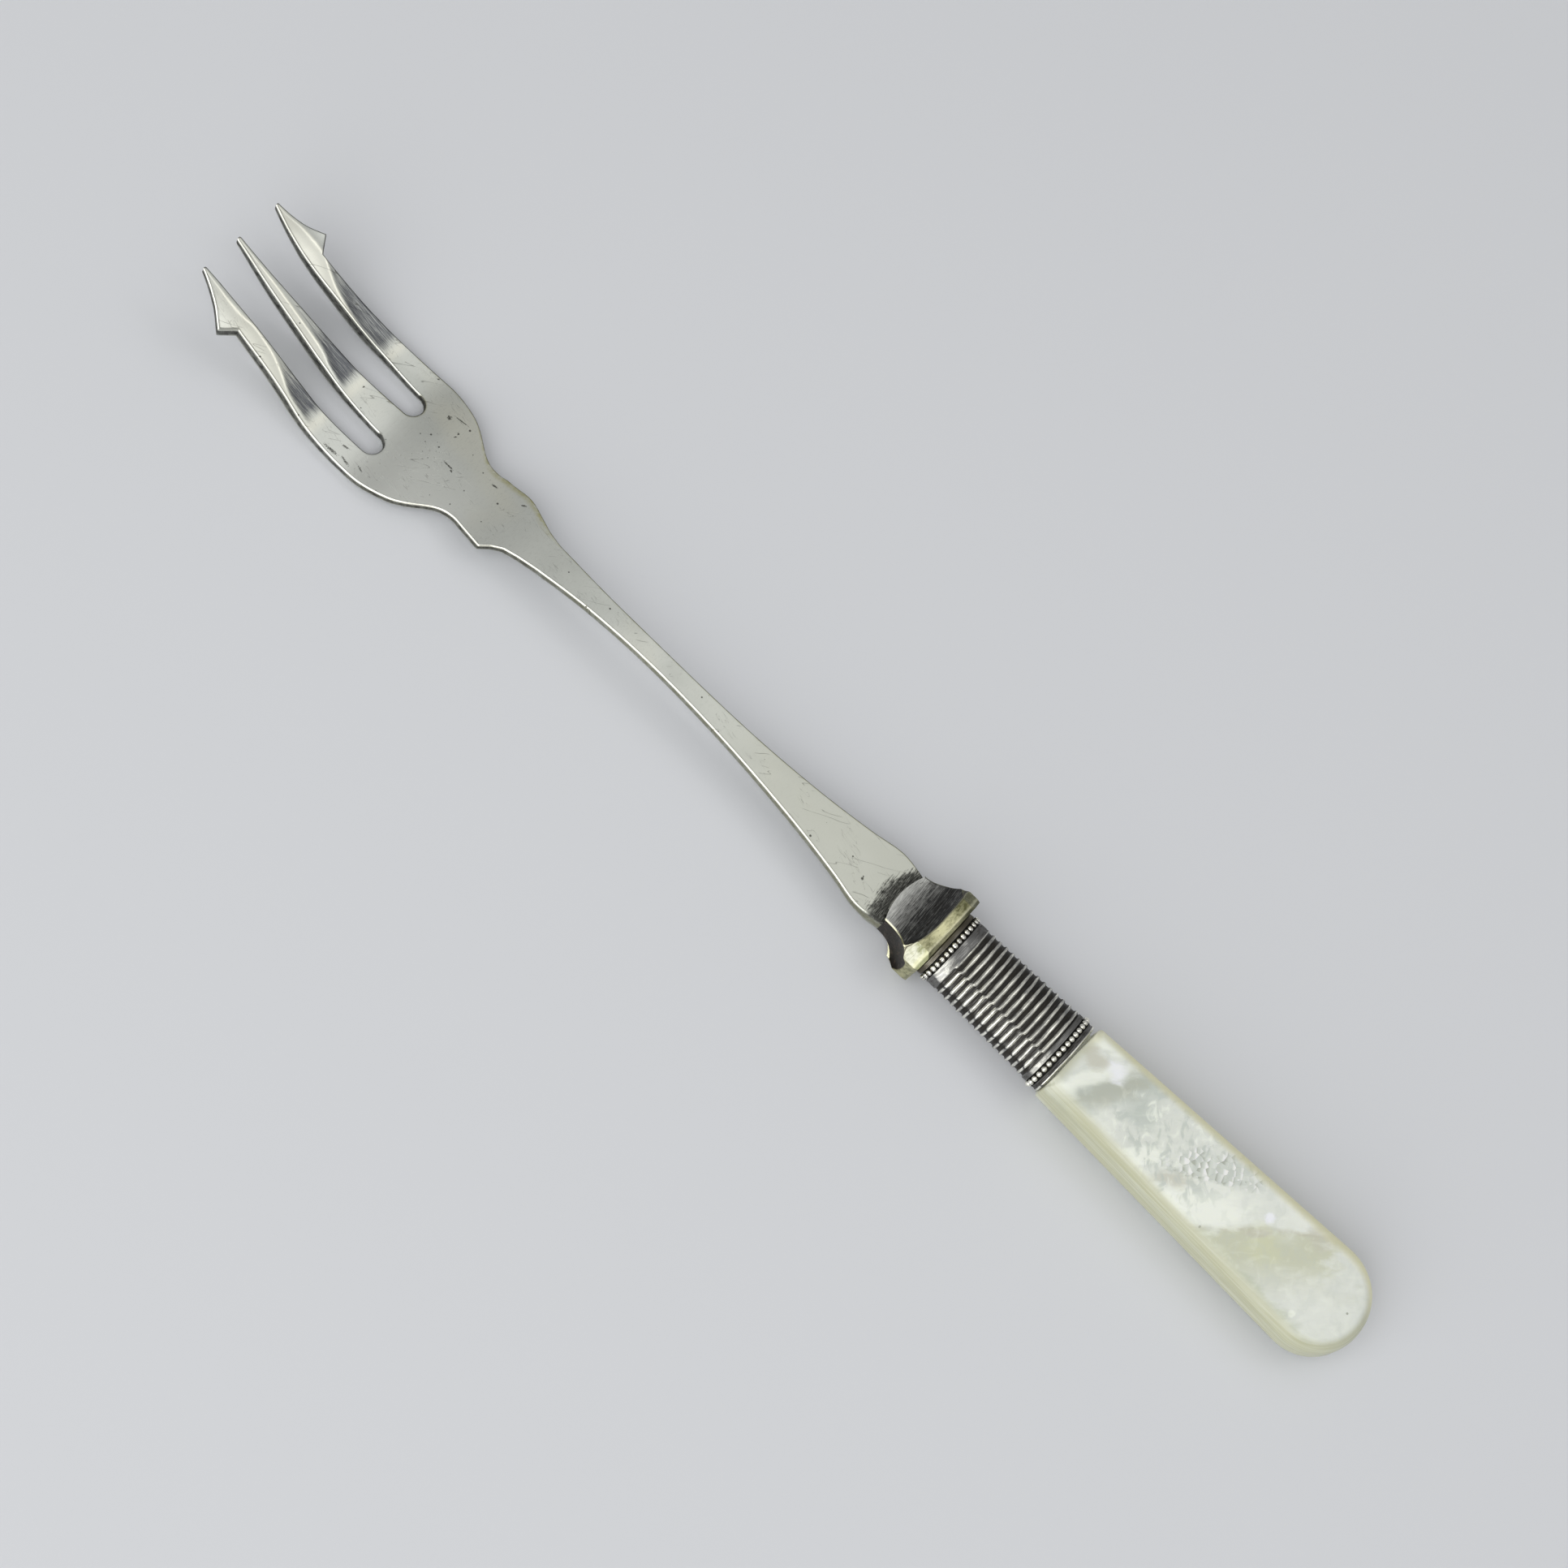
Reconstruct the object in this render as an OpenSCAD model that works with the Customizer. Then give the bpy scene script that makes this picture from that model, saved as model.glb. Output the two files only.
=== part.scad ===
// Pickle fork with three tines, outward barbs, a reeded ferrule and a pearl handle.
// Y runs along the fork to the tine tips, X across it, Z up out of the face of the palm.

/* [Overall] */
// Length from the round end of the handle to the tine tips
overall_length = 176.7; // [172:0.1:181]
// Height of the handle's centre line above the table
axis_height = 3.85; // [3.6:0.05:4.2]

/* [Pearl handle] */
// Length of pearl that shows behind the ferrule
pearl_length = 45.05; // [38:0.05:52]
// Greatest width, near the round end
pearl_width = 13.8; // [12.4:0.1:15]
// Width where the pearl meets the ferrule
pearl_front_width = 10.1; // [10:0.1:12]
// Thickness at the round end
pearl_thickness = 5; // [4.6:0.1:5.8]
// Thickness where the pearl meets the ferrule
pearl_front_thickness = 6.3; // [6.2:0.1:7]
// Radius of the rounded long edges
pearl_edge_r = 1.8; // [1:0.1:2.2]
// How far the round end is squared, as the distance between its two arcs
pearl_squareness = 0.8; // [0:0.1:2]
// How far the round end sits to the right of the centre line
pearl_lean = 0.2; // [0:0.05:0.3]

/* [Ferrule] */
// Length of the ferrule
ferrule_length = 19.26; // [19:0.02:21]
// Width of its rear end, over the plain wall
ferrule_width = 10.3; // [9.9:0.1:10.5]
// Thickness of its rear end, over the plain wall
ferrule_thickness = 6.1; // [5.9:0.1:6.3]
// How much narrower the front end is
ferrule_taper = 0.96; // [0:0.02:1]
// Radius of the narrow ends of its oval section
ferrule_end_r = 2.3; // [2:0.1:2.6]
// Number of reeded ribs
rib_count = 14; // [8:1:15]
// Distance from rib to rib
rib_pitch = 1; // [0.8:0.01:1.02]
// Height of a rib over the grooves beside it
rib_height = 0.22; // [0.1:0.02:0.24]
// Beads in each beaded wire
bead_count = 33; // [24:1:36]
// Diameter of one bead
bead_d = 0.74; // [0.6:0.02:0.76]
// How far the beads stand out past the plain wall
bead_proud = 0.36; // [0.3:0.02:0.4]

/* [Bolster] */
// Length of the bolster at its middle
bolster_length = 7.25; // [6.5:0.05:9]
// Width of the eight-sided rim
rim_width = 11.7; // [11:0.1:13]
// Length of the rim along the fork
rim_length = 1.6; // [1.2:0.1:2.2]
// Width of the chamfer across each rim corner
rim_chamfer_w = 2; // [1:0.1:2.4]
// Height of the chamfer across each rim corner
rim_chamfer_h = 1.7; // [1:0.1:2]
// Bevel along the rear edges of the rim, half as wide at its two sides
rim_bevel = 0.4; // [0.1:0.05:0.6]
// Width of the bolster where the shank leaves it
bolster_front_width = 7.3; // [7:0.1:8]
// Thickness of the bolster where the shank leaves it
bolster_front_thickness = 3.8; // [3.6:0.1:4.4]
// How far its front end sits below the centre line
bolster_front_drop = 0.4; // [0.2:0.1:0.5]
// Radius of its bowed front edge, seen from above
bolster_front_r = 9; // [8:0.5:30]

/* [Shank and palm] */
// Width of the shank just in front of the bolster
shank_root_width = 8.7; // [8.2:0.1:9.2]
// Width of the shank at its waist
shank_waist_width = 2.5; // [2:0.1:3.2]
// Width over the pointed shoulders
shoulder_width = 9.2; // [8.4:0.1:9.8]
// Width of the neck between shoulders and palm
neck_width = 8; // [7.6:0.1:8.6]
// Greatest width of the palm
palm_width = 16.7; // [16:0.1:18]
// Thickness of the shank and palm
blade_thickness = 1.4; // [1.2:0.05:1.5]

/* [Tines] */
// Width over the two barbs
barb_width = 17.8; // [17.4:0.1:19]
// Length of the barbs back from the tine tips
barb_reach = 5.75; // [5:0.05:7]
// Width of the middle tine at its root
middle_tine_width = 4; // [3.4:0.1:4.4]
// Width of each slot between two tines
slot_width = 2.95; // [2.4:0.05:3.1]
// Depth of the slots from the tips
slot_depth = 27.35; // [25:0.05:28]
// Radius of the corners at the root of a slot
slot_corner_r = 1.3; // [0.6:0.1:1.4]

/* [Inside the handle] */
// Width of the tang
tang_width = 4; // [3:0.1:4.4]
// Thickness of the tang
tang_thickness = 1.6; // [1.2:0.1:1.8]
// Length of tang behind the bolster's front edge
tang_length = 42; // [30:1:50]
// Thickness of the cement round the tang
cement_t = 0.3; // [0.2:0.05:0.4]
// Diameter of the two pins through pearl and tang
pin_d = 1.2; // [0.8:0.1:1.6]

/* [Hidden] */

// Gap left between pieces that only touch
joint_gap = 0.04;
// Dark line between pearl and ferrule
dark_gap = 0.35;
// Longer than anything that is cut
big = 60;
// Sides of the ferrule's oval section
oval_sides = 36;
// Points worked out between two points of a curve
curve_steps = 4;

// Where each piece begins along the fork, from the round end of the handle
ferrule_y = pearl_length + dark_gap;
bolster_y = ferrule_y + ferrule_length + joint_gap;
blade_y = bolster_y + bolster_length;
tip_y = overall_length;
slot_y = tip_y - slot_depth;
barb_y = tip_y - barb_reach;

// The palm, shoulder and neck keep their places back from the tips
palm_y = tip_y - 26.2;
neck_y = tip_y - 38.7;
shoulder_y = tip_y - 43.1;
waist_y = tip_y - 68.2;

// Bends of the blade seen from the side
top_at_bolster = 0.5;
top_at_waist = 1.95;
top_at_heel = blade_thickness - axis_height;
top_at_tips = 5.85;

// Tang, cement and neck sit a little under the centre line
tang_top = top_at_bolster;
tang_mid = tang_top - tang_thickness / 2;
tang_end_y = blade_y - tang_length;
neck_half_w = 4.15;
neck_half_t = 2.3;
neck_end_r = 1.75;
bore_gap = 0.05;

// Places along the ferrule, measured from its rear end
lip_length = 0.8;
bead_band = 0.88;
rib_start = 2.32;
rib_crest = 0.5;
front_ring = 0.72;
// How far a rib's crest stands over the plain wall, and the front plain band under it
rib_proud = 0.02;
front_plain_sink = 0.04;
// Half the width and height of the core that joins the beads
core_half = 0.14;
// Power of the hollow curve of the bolster
hollow = 3.2;
// Slice of the pearl at its front that is as wide as its end
pearl_front_slice = 0.5;
// Gap in all between the ends of a pin and the outside of the neck
pin_short = 0.1;

// One point of a smooth curve between p1 and p2
function between(p0, p1, p2, p3, t) =
    0.5 * (2 * p1 + (p2 - p0) * t + (2 * p0 - 5 * p1 + 4 * p2 - p3) * t * t
    + (3 * p1 - p0 - 3 * p2 + p3) * t * t * t);

// A smooth curve through a list of points
function curve(p) = [
    for (i = [0 : len(p) - 2])
        for (k = [0 : curve_steps - 1])
            between(p[max(i - 1, 0)], p[i], p[i + 1], p[min(i + 2, len(p) - 1)], k / curve_steps),
    p[len(p) - 1]
];

// Points of an arc round c, in degrees
function arc(c, r, from, to, n) =
    [for (k = [0 : n]) c + r * [cos(from + (to - from) * k / n), sin(from + (to - from) * k / n)]];

function reversed(p) = [for (i = [len(p) - 1 : -1 : 0]) p[i]];

function mirrored(p) = [for (q = reversed(p)) [-q[0], q[1]]];

// An oval of two narrow end arcs and two broad arcs, walked by its own length.
// a and b are its half width and half thickness, r the radius of its ends.
function broad_r(a, b, r) = ((a - r) * (a - r) + b * b - r * r) / (2 * (b - r));
function end_angle(a, b, r) = atan2(broad_r(a, b, r) - b, a - r);
function quarter(a, b, r) =
    (r * end_angle(a, b, r) + broad_r(a, b, r) * (90 - end_angle(a, b, r))) * PI / 180;

function quarter_point(a, b, r, s) =
    let (
        turn = end_angle(a, b, r),
        first = r * turn * PI / 180,
        wide = broad_r(a, b, r),
        g = s < first ? s / r * 180 / PI : turn + (s - first) / wide * 180 / PI
    )
    s < first ? [a - r + r * cos(g), r * sin(g)] : [wide * cos(g), b - wide + wide * sin(g)];

// s runs from 0 to 1 round the whole oval
function oval_point(a, b, r, s) =
    let (
        q = quarter(a, b, r),
        part = floor(s * 4),
        along = (s * 4 - part) * q,
        p = quarter_point(a, b, r, part % 2 == 0 ? along : q - along)
    )
    [part == 1 || part == 2 ? -p[0] : p[0], part >= 2 ? -p[1] : p[1]];

function oval(a, b, r) = [for (i = [0 : oval_sides - 1]) oval_point(a, b, r, (i + 0.5) / oval_sides)];

// Half sizes of the ferrule's plain wall at a distance from its rear end
function ferrule_a(y) = (ferrule_width - ferrule_taper * y / ferrule_length) / 2;
function ferrule_b(y) = (ferrule_thickness - ferrule_taper / 3 * y / ferrule_length) / 2;

// The bolster narrows from its rim in a hollow curve
function flare(rim, front, u) = front + (rim - front) * pow(1 - u, hollow);
function bowed_y(x) = blade_y - bolster_front_r + sqrt(pow(bolster_front_r, 2) - x * x);

// Stands upright a shape drawn in Y and Z, so that it runs across the fork
module across(width) {
    rotate([90, 0, 90]) linear_extrude(width, center = true) children();
}

// Runs a shape drawn in X and Z along the fork from y to y + length
module along(y, length) {
    translate([0, y + length, 0]) rotate([90, 0, 0]) linear_extrude(length) children();
}

// Sets a piece drawn from the handle's end and centre line in the part's own frame
module placed() {
    translate([0, -overall_length / 2, axis_height]) children();
}

// One side of the shank and shoulder, with the corner as sharp as point makes it
function shank_edge(point) = concat(
    curve([
        [shank_root_width / 2 - 0.55, bowed_y(shank_root_width / 2 - 0.55) + joint_gap],
        [shank_root_width / 2, blade_y + 2.8],
        [shank_root_width / 2 - 0.85, blade_y + 7.5],
        [shank_waist_width / 2 + 1.2, waist_y - 21.5],
        [shank_waist_width / 2 + 0.35, waist_y - 11.5],
        [shank_waist_width / 2, waist_y],
        [shank_waist_width / 2 + 0.2, waist_y + 10.5],
        [shank_waist_width / 2 + 0.85, waist_y + 18.5],
        [shank_waist_width / 2 + 1.6, shoulder_y - 2.2],
    ]),
    point
        ? [[shoulder_width / 2 - 1, shoulder_y - 1], [shoulder_width / 2, shoulder_y + 0.1]]
        : curve([
            [shoulder_width / 2 - 0.95, shoulder_y - 1.7],
            [shoulder_width / 2 - 0.5, shoulder_y - 0.4],
            [shoulder_width / 2 - 0.52, shoulder_y + 1],
        ])
);

// One side of the palm from the neck to the root of the barb
palm_edge = curve([
    [neck_width / 2 + 0.05, neck_y - 1.2],
    [neck_width / 2 - 0.1, neck_y],
    [neck_width / 2 + 0.1, neck_y + 1.4],
    [neck_width / 2 + 0.75, neck_y + 2.7],
    [palm_width / 2 - 1.9, neck_y + 5],
    [palm_width / 2 - 0.9, neck_y + 6.9],
    [palm_width / 2 - 0.15, neck_y + 9.8],
    [palm_width / 2, palm_y],
    [palm_width / 2 - 0.25, palm_y + 6],
    [palm_width / 2 - 0.95, palm_y + 12.5],
    [palm_width / 2 - 1.3, barb_y - 2.5],
]);

// The barb, then the blunt tip of an outer tine
barb_edge = concat(
    [
        [barb_width / 2 - 1.95, barb_y - 1.45],
        [barb_width / 2 - 1.05, barb_y - 0.75],
        [barb_width / 2, barb_y],
    ],
    curve([
        [barb_width / 2 - 0.5, barb_y + 0.7],
        [barb_width / 2 - 1.48, barb_y + 2.1],
        [barb_width / 2 - 2.3, barb_y + 3.9],
        [barb_width / 2 - 2.82, tip_y - 0.3],
    ]),
    [[barb_width / 2 - 2.98, tip_y], [barb_width / 2 - 3.17, tip_y - 0.05]]
);

// Both sides of a slot, from an outer tip round the root to the middle tip
slot_in = middle_tine_width / 2;
slot_out = slot_in + slot_width;
slot_edge = concat(
    curve([
        [slot_out + 0.68, tip_y - 0.5],
        [slot_out + 0.3, tip_y - 3.2],
        [slot_out + 0.02, tip_y - 8],
        [slot_out, tip_y - 15],
        [slot_out + 0.08, tip_y - 20],
        [slot_out, slot_y + slot_corner_r + 0.6],
    ]),
    arc([slot_out - slot_corner_r, slot_y + slot_corner_r], slot_corner_r, 0, -90, 4),
    arc([slot_in + slot_corner_r, slot_y + slot_corner_r], slot_corner_r, -90, -180, 4),
    curve([
        [slot_in, slot_y + slot_corner_r + 0.6],
        [slot_in - 0.28, tip_y - 20.4],
        [slot_in - 0.66, tip_y - 15],
        [slot_in - 0.96, tip_y - 10.7],
        [slot_in - 1.28, tip_y - 6.4],
        [slot_in - 1.68, tip_y - 2],
        [slot_in - 1.8, tip_y - 0.15],
    ])
);

function blade_side(point) = concat(shank_edge(point), palm_edge, barb_edge, slot_edge);

// The bowed rear edge of the shank, where it meets the bolster
shank_rear = [for (x = [-3 : 1 : 3]) [x, bowed_y(x) + joint_gap]];

// Top of the blade seen from the side
top_curve = curve([
    [blade_y - 2, top_at_bolster],
    [blade_y + 5, top_at_bolster + 0.1],
    [waist_y - 18, top_at_waist - 0.85],
    [waist_y, top_at_waist],
    [waist_y + 11, top_at_waist - 0.3],
    [shoulder_y - 5, top_at_waist - 1.25],
    [neck_y - 1, (top_at_waist + top_at_heel) / 2 - 0.3],
    [neck_y + 7, top_at_heel + 0.8],
    [palm_y + 1, top_at_heel],
    [palm_y + 6.5, top_at_heel + 0.5],
    [palm_y + 10.5, top_at_heel + 1.75],
    [palm_y + 15, top_at_heel + 3.5],
    [tip_y - 5, top_at_tips - 2.35],
    [tip_y + 1, top_at_tips + 0.5],
]);

// Its underside, thicker at the bolster and where the tines turn up
under_curve = curve([
    [blade_y - 2, top_at_bolster - 2.4],
    [blade_y + 0.6, top_at_bolster - 2.2],
    [blade_y + 4, top_at_bolster - blade_thickness],
    [waist_y - 18, top_at_waist - 0.85 - blade_thickness],
    [waist_y, top_at_waist - blade_thickness],
    [waist_y + 11, top_at_waist - 0.3 - blade_thickness],
    [shoulder_y - 5, top_at_waist - 1.25 - blade_thickness],
    [neck_y - 1, (top_at_waist + top_at_heel) / 2 - 0.3 - blade_thickness],
    [neck_y + 7, top_at_heel + 0.8 - blade_thickness],
    [palm_y + 1, -axis_height],
    [palm_y + 6.5, -axis_height + 0.15],
    [palm_y + 10.5, -axis_height + 0.95],
    [palm_y + 15, -axis_height + 2.65],
    [tip_y - 5, top_at_tips - 4.35],
    [tip_y + 1, top_at_tips - 0.75],
]);

// Forged blade, shank and tang in one piece of plated nickel silver
module fork_blade() {
    color("gainsboro") placed() {
        intersection() {
            translate([0, 0, -big / 2]) linear_extrude(big)
                polygon(concat(shank_rear, blade_side(false), mirrored(blade_side(true))));
            across(big) polygon(concat(top_curve, reversed(under_curve)));
        }
        difference() {
            around_tang(0, tang_length + 1);
            pin_holes();
        }
    }
}

// The tang's bar with some room on its sides and behind it
module around_tang(room, length) {
    translate([-tang_width / 2 - room, tang_end_y - room, tang_mid - tang_thickness / 2 - room])
        cube([tang_width + 2 * room, length, tang_thickness + 2 * room]);
}

// Bored through pearl, cement and tang alike
module pin_holes() {
    for (y = pin_places)
        translate([0, y, 0]) cylinder(d = pin_d, h = big, center = true, $fn = 48);
}

pin_places = [ferrule_y + 5.5, ferrule_y + 13.5];

// Eight-sided rim that runs in a hollow curve down to the shank
module bolster() {
    steps = 10;
    rim_y = bolster_y + rim_length;
    run = bolster_length - rim_length;
    rim_a = rim_width / 2;
    front_a = bolster_front_width / 2;
    front_top = bolster_front_thickness / 2 - bolster_front_drop;
    front_under = bolster_front_thickness / 2 + bolster_front_drop;
    side_run = bowed_y(front_a) - rim_y;
    side = [for (k = [0 : steps]) [flare(rim_a, front_a, k / steps), rim_y + side_run * k / steps]];
    bow = [for (k = [1 : 7]) let (x = front_a * (1 - k / 4)) [x, bowed_y(x)]];
    top = [for (k = [0 : steps]) [rim_y + run * k / steps, flare(axis_height, front_top, k / steps)]];
    under = [
        for (k = [steps : -1 : 0])
            [rim_y + run * k / steps, -flare(axis_height, front_under, k / steps)]
    ];
    rear_top = [[bolster_y, axis_height - rim_bevel], [bolster_y + rim_bevel, axis_height]];
    rear_under = [for (q = reversed(rear_top)) [q[0], -q[1]]];
    rear_side = [[rim_a - rim_bevel / 2, bolster_y], [rim_a, bolster_y + rim_bevel / 2]];
    // Corner of the eight-sided outline in the quarter of the signs sx and sz, side or top end
    function corner(sx, sz, top_end) =
        top_end
            ? [sx * (rim_a - rim_chamfer_w), sz * axis_height]
            : [sx * rim_a, sz * (axis_height - rim_chamfer_h)];
    color("darkkhaki") placed() difference() {
        intersection() {
            translate([0, 0, -big / 2]) linear_extrude(big)
                polygon(concat(rear_side, side, bow, mirrored(side), mirrored(rear_side)));
            across(big) polygon(concat(rear_top, top, under, rear_under));
            along(bolster_y - 1, bolster_length + 2) polygon([
                for (q = [[1, 1], [-1, 1], [-1, -1], [1, -1]])
                    each [corner(q[0], q[1], q[0] == -q[1]), corner(q[0], q[1], q[0] == q[1])]
            ]);
        }
        translate([-tang_width / 2 - bore_gap, bolster_y - 1, tang_mid - tang_thickness / 2 - bore_gap])
            cube([tang_width + 2 * bore_gap, big, tang_thickness + 2 * bore_gap]);
    }
}

// One ring of the ferrule's outside, grow thicker than the plain wall
module ferrule_ring(from, length, grow) {
    mid = from + length / 2;
    along(ferrule_y + from, length)
        polygon(oval(ferrule_a(mid) + grow, ferrule_b(mid) + grow, ferrule_end_r + grow));
}

// Thin silver tube with a plain lip, two bead seats and a stack of ribs
module ferrule() {
    bead_seat = bead_proud - bead_d;
    ribs_end = rib_start + rib_count * rib_pitch;
    rear_plain = lip_length + bead_band;
    front_seat = ferrule_length - front_ring - bead_band;
    color("dimgray") placed() difference() {
        union() {
            ferrule_ring(0, lip_length, 0);
            ferrule_ring(lip_length, bead_band, bead_seat);
            ferrule_ring(rear_plain, rib_start - rear_plain, 0);
            for (i = [0 : rib_count - 1]) {
                from = rib_start + i * rib_pitch;
                ferrule_ring(from, rib_crest, rib_proud);
                ferrule_ring(from + rib_crest, rib_pitch - rib_crest, rib_proud - rib_height);
            }
            ferrule_ring(ribs_end, front_seat - ribs_end, -front_plain_sink);
            ferrule_ring(front_seat, bead_band, bead_seat);
            ferrule_ring(front_seat + bead_band, ferrule_length - front_seat - bead_band, 0);
        }
        along(ferrule_y - 1, ferrule_length + 2)
            polygon(oval(neck_half_w + bore_gap, neck_half_t + bore_gap, neck_end_r + bore_gap));
    }
}

// A ring of small balls on a flat core wire, bent round the oval
module bead_wire(from) {
    mid = from + bead_band / 2;
    grow = bead_proud - bead_d / 2;
    a = ferrule_a(mid) + grow;
    b = ferrule_b(mid) + grow;
    r = ferrule_end_r + grow;
    along(ferrule_y + mid - core_half, 2 * core_half) difference() {
        polygon(oval(a + core_half, b + core_half, r + core_half));
        polygon(oval(a - core_half, b - core_half, r - core_half));
    }
    for (i = [0 : bead_count - 1]) {
        p = oval_point(a, b, r, i / bead_count);
        translate([p[0], ferrule_y + mid, p[1]]) rotate([90, 0, 0]) sphere(d = bead_d, $fn = 8);
    }
}

module rear_bead_wire() {
    color("silver") placed() bead_wire(lip_length);
}

module front_bead_wire() {
    color("gray") placed() bead_wire(ferrule_length - front_ring - bead_band);
}

// Half section of the round end, with its two long edges rounded
module pearl_profile(out, half_t, r) {
    translate([0, -half_t]) square([out - r, 2 * half_t]);
    for (side = [1, -1])
        translate([out - r, side * (half_t - r)]) intersection() {
            circle(r = r, $fn = 32);
            translate([0, side > 0 ? 0 : -r]) square(r);
        }
}

// Slab of pearl with a round end, and a slimmer neck inside the ferrule
module pearl_handle() {
    end_r = (pearl_width - pearl_squareness) / 2;
    half_t = pearl_thickness / 2;
    front_half_t = pearl_front_thickness / 2;
    r = pearl_edge_r;
    color("ivory") placed() difference() {
        union() {
            hull() {
                for (x = [-1, 1])
                    translate([pearl_lean + x * pearl_squareness / 2, end_r, 0])
                        rotate_extrude($fn = 64) pearl_profile(end_r, half_t, pearl_edge_r);
                for (x = [1, -1], z = [1, -1])
                    translate([x * (pearl_front_width / 2 - r), pearl_length, z * (front_half_t - r)])
                        rotate([90, 0, 0]) cylinder(r = r, h = pearl_front_slice, $fn = 32);
            }
            along(pearl_length - pearl_front_slice, ferrule_length + dark_gap + pearl_front_slice)
                polygon(oval(neck_half_w, neck_half_t, neck_end_r));
        }
        around_tang(cement_t, big);
        pin_holes();
    }
}

// Cement that fills the slot round the tang
module tang_cement() {
    color("tan") placed() difference() {
        around_tang(cement_t, bolster_y - tang_end_y);
        around_tang(0, big);
        pin_holes();
    }
}

// Two pins through pearl and tang, hidden by the ferrule
module tang_pins() {
    color("goldenrod") placed() for (y = pin_places)
        translate([0, y, 0]) cylinder(d = pin_d, h = 2 * neck_half_t - pin_short, center = true, $fn = 48);
}

fork_blade();
bolster();
ferrule();
rear_bead_wire();
front_bead_wire();
pearl_handle();
tang_cement();
tang_pins();
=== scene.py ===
"""Pickle fork with a reeded ferrule and a pearl handle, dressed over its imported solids.

Every shape is worked out in millimetres from the round end of the handle and the height of
its centre line, with Y along the fork, X across it and Z up out of the palm. The points are
set in the part's own frame, in metres, when a mesh is made.
"""
import logging
import math
from dataclasses import dataclass, field
from enum import Enum

import bmesh
import bpy
import numpy as np
from mathutils import Matrix, Vector


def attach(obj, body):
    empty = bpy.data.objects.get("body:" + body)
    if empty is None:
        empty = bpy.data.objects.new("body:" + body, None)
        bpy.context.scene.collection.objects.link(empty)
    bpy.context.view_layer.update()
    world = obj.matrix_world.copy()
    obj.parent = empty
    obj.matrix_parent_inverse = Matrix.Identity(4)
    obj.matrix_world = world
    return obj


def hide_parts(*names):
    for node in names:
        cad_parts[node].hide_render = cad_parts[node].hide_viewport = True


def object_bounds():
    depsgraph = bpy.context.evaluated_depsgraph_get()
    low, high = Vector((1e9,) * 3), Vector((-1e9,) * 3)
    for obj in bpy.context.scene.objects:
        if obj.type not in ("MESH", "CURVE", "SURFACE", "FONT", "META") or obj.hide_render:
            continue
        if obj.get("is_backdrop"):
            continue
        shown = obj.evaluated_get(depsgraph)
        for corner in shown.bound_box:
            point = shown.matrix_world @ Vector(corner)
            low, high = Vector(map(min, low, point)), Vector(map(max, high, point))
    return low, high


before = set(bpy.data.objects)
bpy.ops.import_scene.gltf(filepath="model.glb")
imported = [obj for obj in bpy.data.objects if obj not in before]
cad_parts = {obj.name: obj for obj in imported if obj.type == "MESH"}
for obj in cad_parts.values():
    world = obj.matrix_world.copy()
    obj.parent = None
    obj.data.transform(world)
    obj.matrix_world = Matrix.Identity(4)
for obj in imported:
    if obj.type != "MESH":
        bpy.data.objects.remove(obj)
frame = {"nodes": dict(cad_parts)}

log = logging.getLogger("pickle_fork")

Socket = bpy.types.NodeSocket
Array = np.ndarray

MM = 0.001
BODY = "root"
WELD = 2e-5


class Side(Enum):
    """The two long sides of the fork, seen from the handle with the hollow of the palm up."""

    LEFT = -1
    RIGHT = 1


@dataclass(frozen=True)
class Places:
    """Places along the fork that several pieces share, in millimetres."""

    overall_length: float = 176.7
    axis_height: float = 3.85
    pearl_front: float = 45.05
    dark_gap: float = 0.35
    ferrule_length: float = 19.26
    joint_gap: float = 0.04
    bolster_length: float = 7.25
    bolster_bow_r: float = 9.0
    tang_width: float = 4.0
    tang_thickness: float = 1.6
    tang_top: float = 0.5
    tang_length: float = 42.0

    @property
    def ferrule_rear(self) -> float:
        """Rear end of the ferrule."""
        return self.pearl_front + self.dark_gap

    @property
    def bolster_rear(self) -> float:
        """Rear face of the bolster."""
        return self.ferrule_rear + self.ferrule_length + self.joint_gap

    @property
    def blade_rear(self) -> float:
        """Front of the bolster at its middle, where the shank begins."""
        return self.bolster_rear + self.bolster_length

    def bowed(self, x: Array) -> Array:
        """Front edge of the bolster: an arc round a centre behind it on the middle line.

        Args:
            x: places across the fork.

        Returns:
            The place along the fork at each x.
        """
        return self.blade_rear - self.bolster_bow_r + np.sqrt(self.bolster_bow_r**2 - x**2)


PLACES = Places()


def to_frame(points: Array) -> Array:
    """Moves points from the handle's end and centre line to the part's frame, in metres."""
    return (points + (0.0, -PLACES.overall_length / 2, PLACES.axis_height)) * MM


def ease(value: Array, low: float, high: float) -> Array:
    """Smooth step 3 t^2 - 2 t^3, with t running from 0 at low to 1 at high."""
    t = np.clip((np.asarray(value, float) - low) / (high - low), 0.0, 1.0)
    return t * t * (3.0 - 2.0 * t)


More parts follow.
